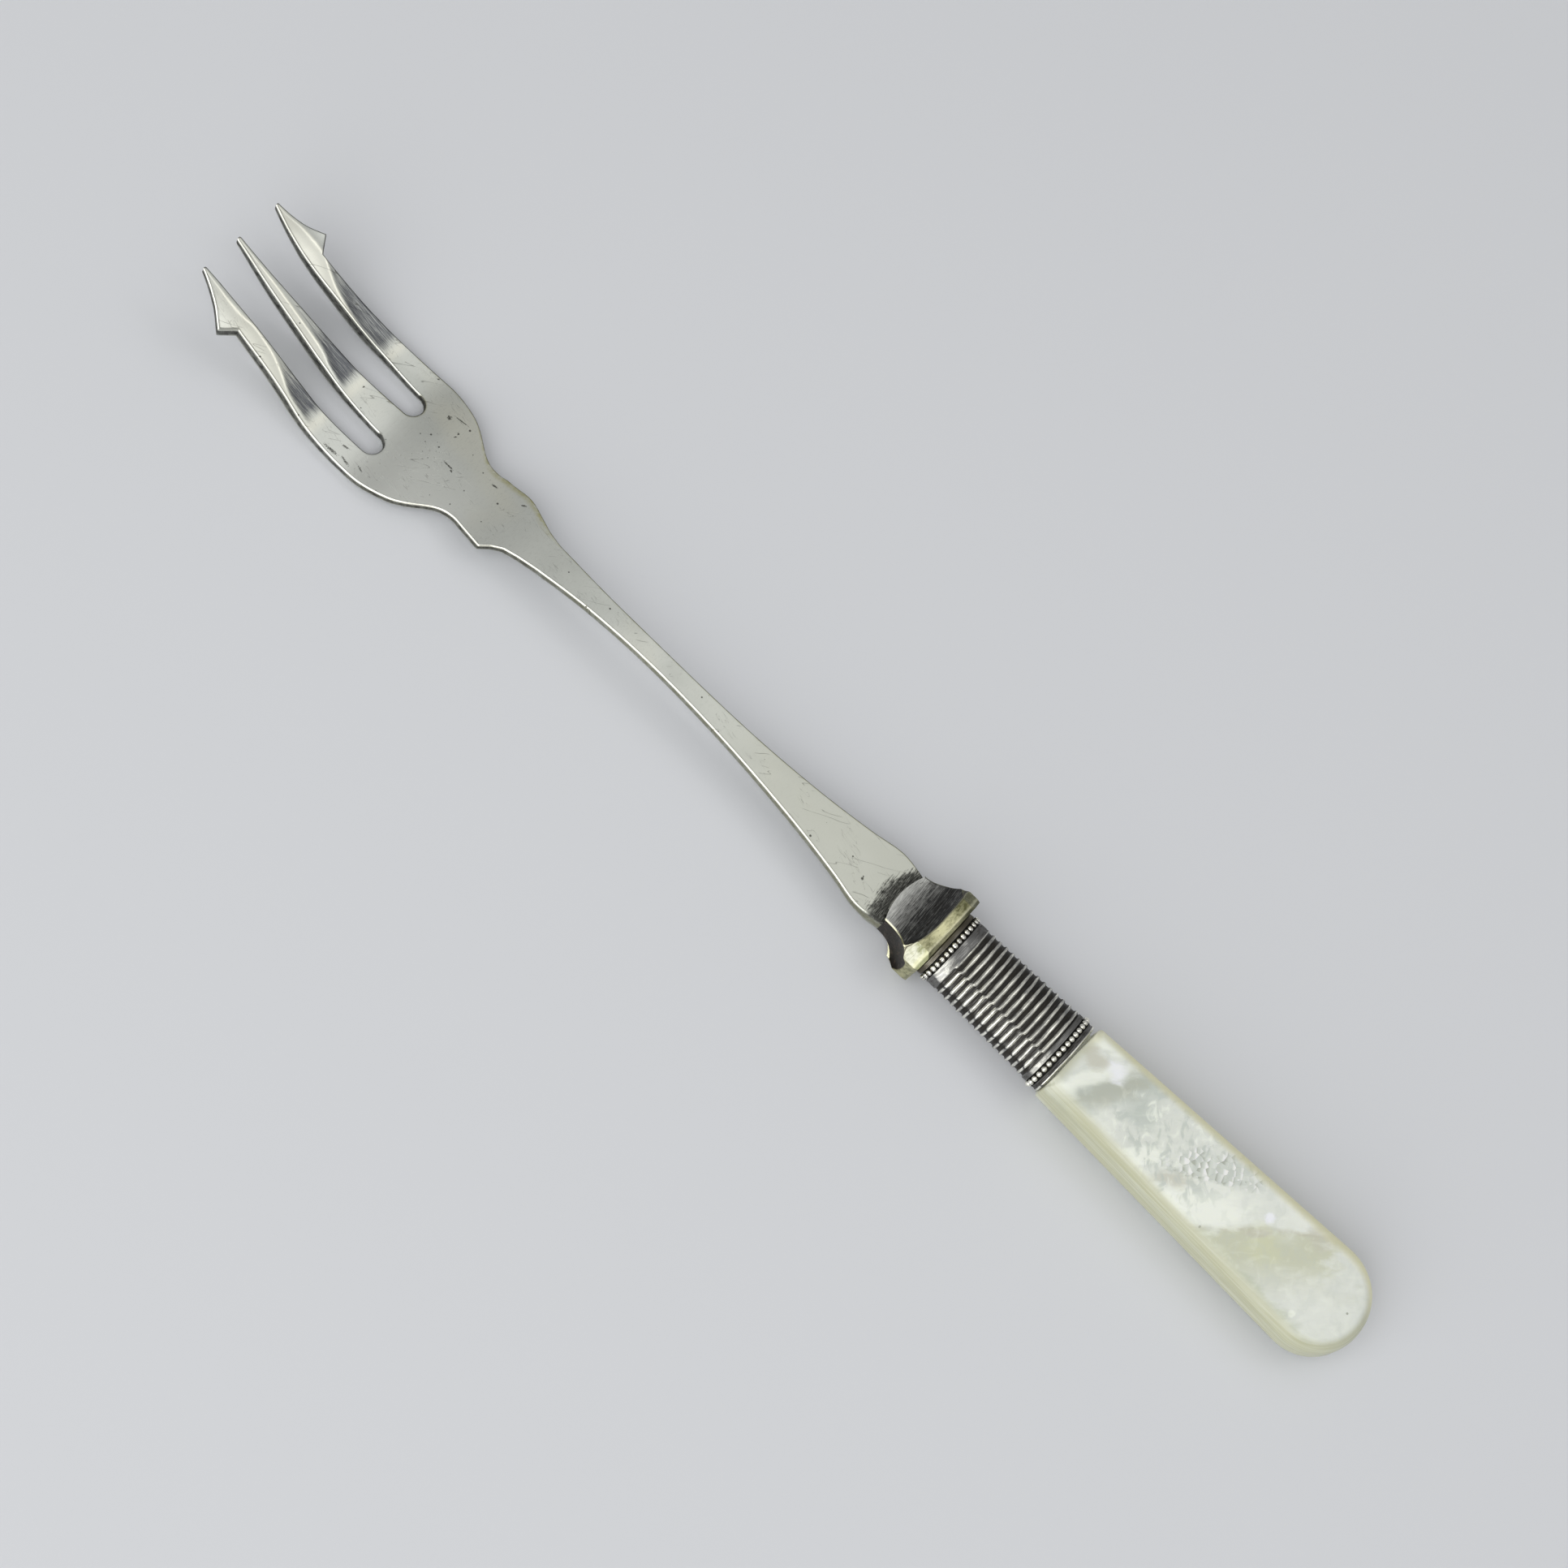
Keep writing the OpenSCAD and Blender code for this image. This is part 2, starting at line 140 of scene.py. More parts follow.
def smooth_curve(points: list[tuple[float, ...]], steps: int = 10) -> Array:
    """Uniform Catmull-Rom curve through points.

    Between p1 and p2, with neighbours p0 and p3, it is half of
    2 p1 + (p2 - p0) t + (2 p0 - 5 p1 + 4 p2 - p3) t^2 + (3 p1 - p0 - 3 p2 + p3) t^3.

    Args:
        points: the points that it passes through.
        steps: points worked out from one of them to the next.

    Returns:
        The points of the curve, one a row.
    """
    p = np.asarray(points, float)
    padded = np.vstack([p[:1], p, p[-1:]])
    p0, p1, p2, p3 = (padded[k : len(p) - 1 + k, None, :] for k in range(4))
    t = np.linspace(0.0, 1.0, steps, endpoint=False)[None, :, None]
    body = 0.5 * (
        2 * p1 + (p2 - p0) * t + (2 * p0 - 5 * p1 + 4 * p2 - p3) * t**2
        + (3 * p1 - p0 - 3 * p2 + p3) * t**3
    )
    return np.vstack([body.reshape(-1, p.shape[1]), p[-1:]])


def gap_to_lines(x: Array, y: Array, lines: list[Array]) -> Array:
    """Distance from each point of a grid to the nearest of some lines.

    The foot of the perpendicular on each stretch is held between its two ends.

    Args:
        x: places across, as a grid.
        y: places along, as a grid.
        lines: polylines as rows of (x, y).

    Returns:
        The distances, as a grid.
    """
    start = np.vstack([line[:-1] for line in lines])
    step = np.vstack([line[1:] for line in lines]) - start
    size = np.maximum((step**2).sum(1), 1e-12)
    gaps = np.empty(x.shape)
    for column in range(x.shape[1]):
        reach = np.stack([x[:, column], y[:, column]], -1)[:, None] - start
        share = np.clip((reach * step).sum(-1) / size, 0.0, 1.0)
        gaps[:, column] = np.sqrt(((reach - share[..., None] * step) ** 2).sum(-1).min(1))
    return gaps


def strip(low: Array, high: Array, rings: Array, inner: int) -> Array:
    """Columns between two edges, drawn closer together near the edges.

    They stand at set distances from each edge, and evenly between. Where the strip is narrow,
    the set distances shrink with it.

    Args:
        low: left edge, one value a row.
        high: right edge, one value a row.
        rings: distances from an edge, from 0 on.
        inner: columns between the two sets.

    Returns:
        Places across, one row for each value of the edges.
    """
    low, high = np.atleast_1d(low)[:, None], np.atleast_1d(high)[:, None]
    near = rings[None] * np.minimum(1.0, (high - low) / (2.6 * rings[-1]))
    share = np.linspace(0.0, 1.0, inner + 2)[None, 1:-1]
    start, end = low + near[:, -1:], high - near[:, -1:]
    return np.hstack([low + near, start + (end - start) * share, high - near[:, ::-1]])


def rounding(gap: Array, radius: Array) -> Array:
    """Drop of a rounded edge: r - sqrt(r^2 - (r - gap)^2) within r of the outline."""
    inside = np.maximum(radius - gap, 0.0)
    return radius - np.sqrt(np.maximum(radius**2 - inside**2, 0.0))


@dataclass
class Skin:
    """Grids of points, in millimetres, that are welded into one closed mesh."""

    marks: tuple[str, ...] = ()
    points: list[Array] = field(default_factory=list)
    quads: list[Array] = field(default_factory=list)
    values: list[Array] = field(default_factory=list)
    count: int = 0

    def patch(self, x: Array, y: Array, z: Array, around: bool = False, **marks: Array) -> None:
        """Adds a grid of points with a face between each four neighbours.

        Args:
            x: places across, broadcast with y and z to rows and columns.
            y: places along.
            z: heights.
            around: whether the last column joins the first.
            marks: values from 0 to 1 that the finish reads, by name.
        """
        x, y, z = np.broadcast_arrays(x, y, z)
        index = self.count + np.arange(x.size).reshape(x.shape)
        if around:
            index = np.hstack([index, index[:, :1]])
        corners = (index[:-1, :-1], index[:-1, 1:], index[1:, 1:], index[1:, :-1])
        self.quads.append(np.stack(corners, -1).reshape(-1, 4))
        self.points.append(np.stack([x, y, z], -1).reshape(-1, 3))
        rows = [np.broadcast_to(marks.get(name, 0.0), x.shape).ravel() for name in self.marks]
        self.values.append(np.array(rows).reshape(len(self.marks), -1))
        self.count += x.size

    def mesh(self, name: str, crease_deg: float) -> bpy.types.Mesh:
        """Welds the grids where their points meet, and turns all faces outwards.

        Args:
            name: the mesh's name.
            crease_deg: an edge that bends more than this stays sharp.

        Returns:
            The mesh, in metres in the part's frame.
        """
        points = np.vstack(self.points)
        keys = np.round(points / WELD).astype(np.int64)
        _, first, welded = np.unique(keys, axis=0, return_index=True, return_inverse=True)
        quads = welded.ravel()[np.vstack(self.quads)]
        same = quads == np.roll(quads, -1, axis=1)
        whole = quads[same.sum(1) == 0]
        thin = same.sum(1) == 1
        tris = quads[thin][~same[thin]].reshape(-1, 3)
        mesh = bpy.data.meshes.new(name)
        mesh.vertices.add(len(first))
        mesh.vertices.foreach_set("co", to_frame(points[first]).ravel())
        corners = np.concatenate([whole.ravel(), tris.ravel()])
        mesh.loops.add(len(corners))
        mesh.loops.foreach_set("vertex_index", corners)
        starts = np.concatenate([np.arange(len(whole)) * 4, whole.size + np.arange(len(tris)) * 3])
        mesh.polygons.add(len(starts))
        mesh.polygons.foreach_set("loop_start", starts)
        mesh.update(calc_edges=True)
        mesh.validate()
        work = bmesh.new()
        work.from_mesh(mesh)
        bmesh.ops.recalc_face_normals(work, faces=work.faces)
        work.to_mesh(mesh)
        work.free()
        mesh.polygons.foreach_set("use_smooth", np.ones(len(mesh.polygons), bool))
        mesh.set_sharp_from_angle(angle=math.radians(crease_deg))
        for row, mark in enumerate(self.marks):
            layer = mesh.attributes.new(mark, "FLOAT", "POINT")
            layer.data.foreach_set("value", np.hstack(self.values)[row, first].astype(np.float32))
        return mesh


class Paint:
    """A material's node tree, with a short call for each kind of node that the finishes use."""

    def __init__(self, name: str) -> None:
        """Starts a material with a bare shader.

        Args:
            name: the material's name.
        """
        self.material = bpy.data.materials.new(name)
        self.material.use_nodes = True
        self.nodes = self.material.node_tree.nodes
        self.links = self.material.node_tree.links
        self.shader = self.nodes["Principled BSDF"]
        self.place = self.nodes.new("ShaderNodeTexCoord").outputs["Object"]

    def feed(self, socket: Socket, value: object) -> None:
        """Links a socket to another, or writes a plain number or colour on it."""
        if isinstance(value, bpy.types.NodeSocket):
            self.links.new(value, socket)
        else:
            socket.default_value = value

    def colour(self, tint: tuple[float, float, float]) -> tuple[float, float, float, float]:
        """A colour with full cover."""
        return (*tint, 1.0)

    def local(
        self, sizes: tuple[float, float, float], turn: float = 0.0,
        centre: tuple[float, float, float] = (0.0, 0.0, 0.0),
    ) -> Socket:
        """Object coordinates measured from a centre, turned about Z and in units of some sizes.

        Args:
            sizes: the units along the turned X, Y and Z, in millimetres.
            turn: the turn about Z, in degrees.
            centre: the centre, in millimetres from the handle's end and centre line.

        Returns:
            The vector socket.
        """
        node = self.nodes.new("ShaderNodeMapping")
        node.vector_type = "TEXTURE"
        node.inputs["Location"].default_value = tuple(to_frame(np.array(centre)))
        node.inputs["Rotation"].default_value = (0.0, 0.0, math.radians(turn))
        node.inputs["Scale"].default_value = tuple(size * MM for size in sizes)
        self.feed(node.inputs["Vector"], self.place)
        return node.outputs["Vector"]

    def mark(self, name: str) -> Socket:
        """A value that was written on the mesh's points."""
        node = self.nodes.new("ShaderNodeAttribute")
        node.attribute_name = name
        return node.outputs["Fac"]

    def noise(self, vector: Socket, detail: float = 3.0, rough: float = 0.5, bend: float = 0.0) -> Socket:
        """Cloudy noise, about 0.5 in the middle, with one cloud to each unit of the vector."""
        node = self.nodes.new("ShaderNodeTexNoise")
        node.inputs["Scale"].default_value = 1.0
        node.inputs["Detail"].default_value = detail
        node.inputs["Roughness"].default_value = rough
        node.inputs["Distortion"].default_value = bend
        self.feed(node.inputs["Vector"], vector)
        return node.outputs["Fac"]

    def cells(self, vector: Socket, spread: float = 1.0) -> bpy.types.Node:
        """Cells with one centre to each unit of the vector: Distance and a random Color."""
        node = self.nodes.new("ShaderNodeTexVoronoi")
        node.inputs["Scale"].default_value = 1.0
        node.inputs["Randomness"].default_value = spread
        self.feed(node.inputs["Vector"], vector)
        return node

    def sum(self, kind: str, first: object, second: object = 0.0, clamp: bool = False) -> Socket:
        """One arithmetic step, such as ADD, MULTIPLY or ABSOLUTE."""
        node = self.nodes.new("ShaderNodeMath")
        node.operation = kind
        node.use_clamp = clamp
        self.feed(node.inputs[0], first)
        self.feed(node.inputs[1], second)
        return node.outputs[0]

    def step(self, value: Socket, low: float, high: float, a: float = 0.0, b: float = 1.0) -> Socket:
        """Smooth step from a where the value is low to b where it is high."""
        node = self.nodes.new("ShaderNodeMapRange")
        node.interpolation_type = "SMOOTHSTEP"
        for socket, number in zip(node.inputs[1:5], (low, high, a, b)):
            socket.default_value = number
        if low > high:
            for socket, number in zip(node.inputs[1:5], (high, low, b, a)):
                socket.default_value = number
        self.feed(node.inputs["Value"], value)
        return node.outputs["Result"]

    def mix(self, share: object, first: object, second: object, kind: str = "MIX") -> Socket:
        """Two colours blended by a share of the second."""
        node = self.nodes.new("ShaderNodeMix")
        node.data_type = "RGBA"
        node.blend_type = kind
        node.clamp_result = True
        self.feed(node.inputs[0], share)
        self.feed(node.inputs[6], self.colour(first) if isinstance(first, tuple) else first)
        self.feed(node.inputs[7], self.colour(second) if isinstance(second, tuple) else second)
        return node.outputs[2]

    def split(self, vector: Socket) -> bpy.types.Node:
        """The X, Y and Z of a vector."""
        node = self.nodes.new("ShaderNodeSeparateXYZ")
        self.feed(node.inputs[0], vector)
        return node

    def ramp(self, value: Socket, stops: tuple[tuple[float, tuple[float, float, float]], ...]) -> Socket:
        """Colour that runs through stops, each a value and its colour, in rising order."""
        low, high = stops[0][0], stops[-1][0]
        node = self.nodes.new("ShaderNodeValToRGB")
        bar = node.color_ramp.elements
        for _ in stops[2:]:
            bar.new(0.5)
        for point, (place, tint) in zip(bar, stops):
            point.position, point.color = (place - low) / (high - low), self.colour(tint)
        share = self.nodes.new("ShaderNodeMapRange")
        share.inputs[1].default_value, share.inputs[2].default_value = low, high
        self.feed(share.inputs["Value"], value)
        self.feed(node.inputs["Fac"], share.outputs["Result"])
        return node.outputs["Color"]

    def between(self, vector: Socket, other: Socket) -> Socket:
        """The way from one point to another."""
        node = self.nodes.new("ShaderNodeVectorMath")
        node.operation = "SUBTRACT"
        self.feed(node.inputs[0], vector)
        self.feed(node.inputs[1], other)
        return node.outputs["Vector"]

    def length(self, vector: Socket) -> Socket:
        """How long a vector is."""
        node = self.nodes.new("ShaderNodeVectorMath")
        node.operation = "LENGTH"
        self.feed(node.inputs[0], vector)
        return node.outputs["Value"]

    def hairlines(
        self, turn: float, fine: float, long: float, width: float, seed: float, share: float
    ) -> Socket:
        """Thin lines where stretched noise crosses its middle value, broken up by wider noise.

        Args:
            turn: the way the lines run, in degrees from the fork's length.
            fine: the distance from line to line, in millimetres.
            long: the length of a line, in millimetres.
            width: how thick a line is, as a part of the noise's height.
            seed: which set of lines.
            share: how much of the surface has lines, from 0 to 1.

        Returns:
            1 on a line and 0 off it.
        """
        stretched = self.noise(self.local((fine, long, long), turn, (seed, seed, 0.0)), 1.0)
        across = self.sum("ABSOLUTE", self.sum("SUBTRACT", stretched, 0.5))
        line = self.step(across, width, 0.0)
        cover = self.noise(self.local((2.5, 5.0, 5.0), turn, (seed + 3.0, seed, 0.0)), 2.0)
        return self.sum("MULTIPLY", line, self.step(cover, 0.72 - 0.4 * share, 0.76 - 0.4 * share))

    def pits(self, apart: float, radius: float, share: float, seed: float) -> Socket:
        """Small round specks: the core of a cell, where the cell's random value is high.

        Args:
            apart: the distance from cell to cell, in millimetres.
            radius: the radius of the largest speck, in millimetres.
            share: the share of cells that have one.
            seed: which set of specks.

        Returns:
            1 in a speck and 0 off it.
        """
        cell = self.cells(self.local((apart, apart, apart), 0.0, (seed, seed, 0.0)))
        pick = self.split(cell.outputs["Color"])
        size = self.sum("MULTIPLY", pick.outputs[1], radius / apart)
        core = self.sum("SUBTRACT", size, cell.outputs["Distance"])
        edge = self.step(core, 0.0, 0.25 * radius / apart)
        return self.sum("MULTIPLY", edge, self.step(pick.outputs[0], 1.0 - share, 1.001 - share))

    def bump(self, *layers: tuple[Socket, float]) -> None:
        """Gives the shader a relief.

        Args:
            layers: pairs of a height socket and the height that 1 stands for, in millimetres.
        """
        normal = None
        for height, depth in layers:
            node = self.nodes.new("ShaderNodeBump")
            node.inputs["Distance"].default_value = abs(depth) * MM
            node.invert = depth < 0
            self.feed(node.inputs["Height"], height)
            if normal is not None:
                self.feed(node.inputs["Normal"], normal)
            normal = node.outputs["Normal"]
        self.feed(self.shader.inputs["Normal"], normal)

    def finish(self, base: object, rough: object, metal: object) -> bpy.types.Material:
        """Feeds the shader's main sockets.

        Args:
            base: the base colour.
            rough: the roughness.
            metal: the metallic value.

        Returns:
            The finished material.
        """
        self.feed(self.shader.inputs["Base Color"], self.colour(base) if isinstance(base, tuple) else base)
        self.feed(self.shader.inputs["Roughness"], rough)
        self.feed(self.shader.inputs["Metallic"], metal)
        return self.material


@dataclass(frozen=True)
class Spot:
    """A small worn or pitted spot on the plate, in millimetres from the handle's end."""

    x: float
    y: float
    across: float
    along: float
    turn: float = 0.0


@dataclass(frozen=True)
class SilverPlate:
    """Satin silver plate: scratched, pitted, brassy where worn, with painted shade and painted highlights."""

    silver: tuple[float, float, float] = (0.72, 0.74, 0.685)
    smear: tuple[float, float, float] = (0.63, 0.65, 0.60)
    warm: tuple[float, float, float] = (0.80, 0.79, 0.66)
    # Colour of painted light on the palm.
    light: tuple[float, float, float] = (0.92, 0.94, 0.88)
    # Colour of painted highlights.
    bright: tuple[float, float, float] = (1.0, 0.98, 0.84)
    worn: tuple[float, float, float] = (0.59, 0.60, 0.52)
    dim: tuple[float, float, float] = (0.52, 0.53, 0.48)
    # Colour of the painted shade on the tines' right facets.
    brushed: tuple[float, float, float] = (0.11, 0.115, 0.125)
    brass: tuple[float, float, float] = (0.50, 0.48, 0.24)
    # Near-black of the painted shade on side faces, underside and edges, also taken by the dirt of the rear band.
    tarnish: tuple[float, float, float] = (0.022, 0.022, 0.018)
    pit: tuple[float, float, float] = (0.05, 0.05, 0.04)
    spots: tuple[Spot, ...] = (
        Spot(5.3, 146.75, 0.4, 0.36), Spot(0.72, 156.05, 0.2, 0.2), Spot(-1.54, 76.22, 0.22, 0.22),
        Spot(4.4, 144.65, 0.16, 0.16), Spot(8.05, 150.9, 0.2, 0.2), Spot(-7.6, 153.4, 0.26, 1.3, 4.0),
        Spot(-7.4, 151.3, 0.22, 1.0, -10.0), Spot(-6.1, 152.4, 0.16, 0.7, 14.0), Spot(-6.9, 149.4, 0.13, 0.7, -20.0),
        Spot(0.6, 142.8, 0.12, 0.9, -4.0), Spot(0.3, 142.1, 0.16, 0.26), Spot(5.9, 145.6, 0.1, 1.1, 3.0),
        Spot(2.4, 137.3, 0.14, 0.5, 10.0), Spot(2.9, 133.3, 0.12, 0.4, 30.0), Spot(3.9, 144.6, 0.1, 0.3, 60.0),
    )

    def specks(self, paint: Paint) -> Socket:
        """Fine pits all over, a cluster in the middle of the palm and the larger spots."""
        fine = paint.pits(0.8, 0.15, 0.2, 2.0)
        cluster = paint.length(paint.local((2.0, 2.6, 9.0), 0.0, (1.0, 146.4, -2.4)))
        dense = paint.sum("MULTIPLY", paint.pits(0.55, 0.16, 0.55, 6.0), paint.step(cluster, 1.15, 0.5))
        coarse = paint.pits(2.6, 0.22, 0.5, 9.0)
        total = paint.sum("MAXIMUM", paint.sum("MAXIMUM", fine, dense), coarse)
        ragged = paint.noise(paint.local((0.14, 0.14, 0.14)), 2.0, 0.6)
        for spot in self.spots:
            reach = paint.length(paint.local((spot.across, spot.along, 4.0), spot.turn, (spot.x, spot.y, 0.0)))
            wobble = paint.sum("ADD", reach, paint.sum("MULTIPLY", ragged, 1.9))
            total = paint.sum("MAXIMUM", total, paint.step(wobble, 1.95, 1.55))
        return total

    def make(self) -> bpy.types.Material:
        """Builds the material."""
        paint = Paint("silver_plate")
        clouds = paint.noise(paint.local((6.0, 12.0, 9.0), 20.0), 3.0, 0.5, 0.3)
        base = paint.mix(paint.step(clouds, 0.4, 0.7, 0.0, 0.8), self.silver, self.smear)
        glow = paint.noise(paint.local((9.0, 16.0, 16.0), -15.0, (7.0, 3.0, 0.0)), 2.0)
        base = paint.mix(paint.step(glow, 0.5, 0.72, 0.0, 0.45), base, self.warm)
        grain = paint.noise(paint.local((0.45, 0.2, 0.3)), 4.0, 0.7)
        base = paint.mix(paint.step(grain, 0.5, 0.72, 0.0, 0.4), base, self.dim)
        place = paint.split(paint.local((1.0, 1.0, 1.0)))
        base = paint.mix(paint.step(place.outputs[1], 116.0, 84.0, 0.0, 0.75), base, self.worn)
        # Painted light: the palm is lightened towards its left side.
        palm = paint.sum("MULTIPLY", paint.step(place.outputs[1], 133.0, 140.0), paint.step(
            place.outputs[1], 158.0, 151.0))
        lift = paint.sum("MULTIPLY", palm, paint.step(place.outputs[0], 4.5, -5.0, 0.0, 0.6))
        base = paint.mix(lift, base, self.light)
        # Painted highlight: a streaky bright colour along the left edge, the tines' ridges and the lit side of the
        # tines.
        brush = paint.noise(paint.local((0.07, 2.6, 2.6), 2.0), 4.0, 0.7)
        base = paint.mix(paint.sum("MULTIPLY", paint.mark("arris"), paint.step(brush, 0.3, 0.6, 0.65, 1.0)),
                         base, self.bright)
        # Painted shade: the tines' right facets are darkened, with streaks, in place of a dark reflection.
        streak = paint.step(brush, 0.3, 0.7, -0.36, 0.3)
        shade = paint.sum("ADD", paint.mark("facet"), paint.sum(
            "MULTIPLY", streak, paint.step(paint.mark("facet"), 0.0, 0.4)), True)
        base = paint.mix(shade, base, self.brushed)
        scratch = paint.hairlines(33.0, 0.9, 7.0, 0.012, 11.0, 0.4)
        fine = paint.hairlines(-12.0, 0.4, 3.0, 0.014, 5.0, 0.45)
        lines = paint.sum("MAXIMUM", scratch, paint.sum("MULTIPLY", fine, 0.6))
        specks = self.specks(paint)
        base = paint.mix(paint.sum("MULTIPLY", lines, 0.5), base, self.pit)
        base = paint.mix(paint.sum("MULTIPLY", specks, 0.85), base, self.pit)
        blotch = paint.noise(paint.local((0.5, 0.9, 0.9), 0.0, (1.0, 2.0, 0.0)), 4.0, 0.65)
        worn = paint.sum("MULTIPLY", paint.mark("brass"), paint.step(blotch, 0.25, 0.6), True)
        base = paint.mix(worn, base, self.brass)
        ragged = paint.step(blotch, 0.3, 0.7, -0.12, 0.12)
        # Painted shade: side faces, underside and thin lines along the edges are darkened in place of dark
        # reflections; noise rags its edge and the rear band of dirt joins it.
        edge = paint.step(paint.mark("tarnish"), 0.02, 0.3)
        dark = paint.sum("ADD", paint.mark("tarnish"), paint.sum("MULTIPLY", ragged, edge), True)
        dark = paint.sum("MAXIMUM", dark, self.rear_band(paint))
        base = paint.mix(dark, base, self.tarnish)
        rough = paint.sum("ADD", paint.step(clouds, 0.3, 0.75, 0.31, 0.38),
                          paint.sum("MULTIPLY", dark, 0.38))
        paint.bump((brush, 0.002), (paint.sum("MAXIMUM", lines, specks), -0.01), (grain, 0.0012))
        metal = paint.step(dark, 0.2, 1.0, 1.0, 0.3)
        return paint.finish(base, rough, metal)

    def rear_band(self, paint: Paint) -> Socket:
        """Dirt and tarnish against the bolster: solid at the joint, then torn into strokes across.

        The mark falls from 1 at the joint to 0 a few millimetres in front of it. Noise that is
        stretched across the fork is added, and what lies over a middle value is dark.
        """
        strokes = paint.noise(paint.local((1.6, 0.12, 1.0), 8.0, (2.0, 0.0, 0.0)), 4.0, 0.65, 0.6)
        blots = paint.noise(paint.local((0.9, 0.6, 1.0), 0.0, (5.0, 1.0, 0.0)), 4.0, 0.65)
        wild = paint.sum("ADD", paint.step(strokes, 0.3, 0.72, -0.4, 0.4), paint.step(
            blots, 0.32, 0.7, -0.3, 0.3))
        band = paint.mark("band")
        near = paint.step(band, 0.02, 0.3)
        total = paint.sum("ADD", paint.sum("MULTIPLY", band, 1.5), paint.sum("MULTIPLY", wild, near))
        fine = paint.noise(paint.local((1.1, 0.08, 0.5), 4.0, (1.0, 5.0, 0.0)), 4.0, 0.7)
        return paint.sum("MULTIPLY", paint.step(total, 0.25, 1.05), paint.step(fine, 0.46, 0.66, 1.0, 0.6))


@dataclass(frozen=True)
class BolsterMetal:
    """Brassy rim with hollow faces that are scratched crosswise and painted dark as painted shade, paler towards the
    front as painted light.
    """

    brass: tuple[float, float, float] = (0.76, 0.74, 0.45)
    # Colour of the rim's darker parts, painted shade on its right side.
    olive: tuple[float, float, float] = (0.12, 0.12, 0.055)
    # Colour of painted highlights.
    bright: tuple[float, float, float] = (0.86, 0.84, 0.60)
    cream: tuple[float, float, float] = (0.50, 0.50, 0.40)
    # Colour of stains and of painted shade on the left chamfer.
    stain: tuple[float, float, float] = (0.24, 0.25, 0.13)
    # Paler colour of the flare, towards its front as painted light and where worn.
    grey: tuple[float, float, float] = (0.60, 0.605, 0.57)
    # Near-black of the flare, painted shade in place of a dark reflection.
    tarnish: tuple[float, float, float] = (0.055, 0.055, 0.054)
    # Near-black of the side faces, painted shade.
    side: tuple[float, float, float] = (0.022, 0.018, 0.013)
    rust: tuple[float, float, float] = (0.10, 0.07, 0.05)

    def make(self) -> bpy.types.Material:
        """Builds the material."""
        paint = Paint("worn_bolster")
        blotch = paint.noise(paint.local((0.9, 0.6, 0.6)), 4.0, 0.65, 0.3)
        strokes = paint.noise(paint.local((2.2, 0.09, 0.5), 3.0), 4.0, 0.7)
        wear = paint.sum("ADD", paint.step(strokes, 0.32, 0.7, -0.3, 0.3), paint.step(
            blotch, 0.3, 0.7, -0.12, 0.12))
        # Painted light: the flare pales towards its front, with wear noise; the side faces are painted near black as
        # painted shade, with rust blotches.
        light = paint.sum("ADD", paint.mark("front"), wear, True)
        flare = paint.mix(light, self.tarnish, self.grey)
        cut = paint.hairlines(87.0, 0.22, 2.6, 0.02, 4.0, 0.7)
        flare = paint.mix(paint.sum("MULTIPLY", cut, 0.8), flare, self.side)
        shade = paint.mix(paint.step(blotch, 0.5, 0.75), self.side, self.rust)
        base = paint.mix(paint.mark("side"), flare, shade)
        # Painted shade: the rim darkens to olive towards its right side; blotches and a darker stretch on the left
        # are added.
        place = paint.split(paint.local((1.0, 1.0, 1.0)))
        right = paint.step(place.outputs[0], -0.3, 3.6, 0.0, 0.95)
        left = paint.step(place.outputs[0], -0.8, -2.6, 0.0, 0.42)
        dull = paint.sum("ADD", paint.step(blotch, 0.4, 0.7, -0.1, 0.4), paint.sum("ADD", left, right), True)
        rim = paint.mix(dull, self.brass, self.olive)
        # On the left chamfer: darker towards the rear and in blotches, and painted shade along its upper edge.
        rear = paint.step(place.outputs[1], PLACES.bolster_rear + 1.0, PLACES.bolster_rear + 0.4, -0.25, 0.8)
        upper = paint.step(place.outputs[0], -4.9, -3.9, 0.0, 0.75)
        stained = paint.sum("ADD", paint.sum("ADD", rear, upper), paint.step(blotch, 0.4, 0.62, 0.0, 0.6), True)
        rim = paint.mix(paint.mark("chamfer"), rim, paint.mix(stained, self.cream, self.stain))
        base = paint.mix(paint.mark("rim"), base, rim)
        # Painted highlights along the edges.
        base = paint.mix(paint.mark("arris"), base, self.bright)
        grain = paint.noise(paint.local((0.25, 0.25, 0.25)), 3.0, 0.7)
        rough = paint.step(grain, 0.3, 0.75, 0.28, 0.42)
        paint.bump((strokes, 0.008), (cut, -0.008), (grain, 0.003))
        return paint.finish(base, rough, 0.95)


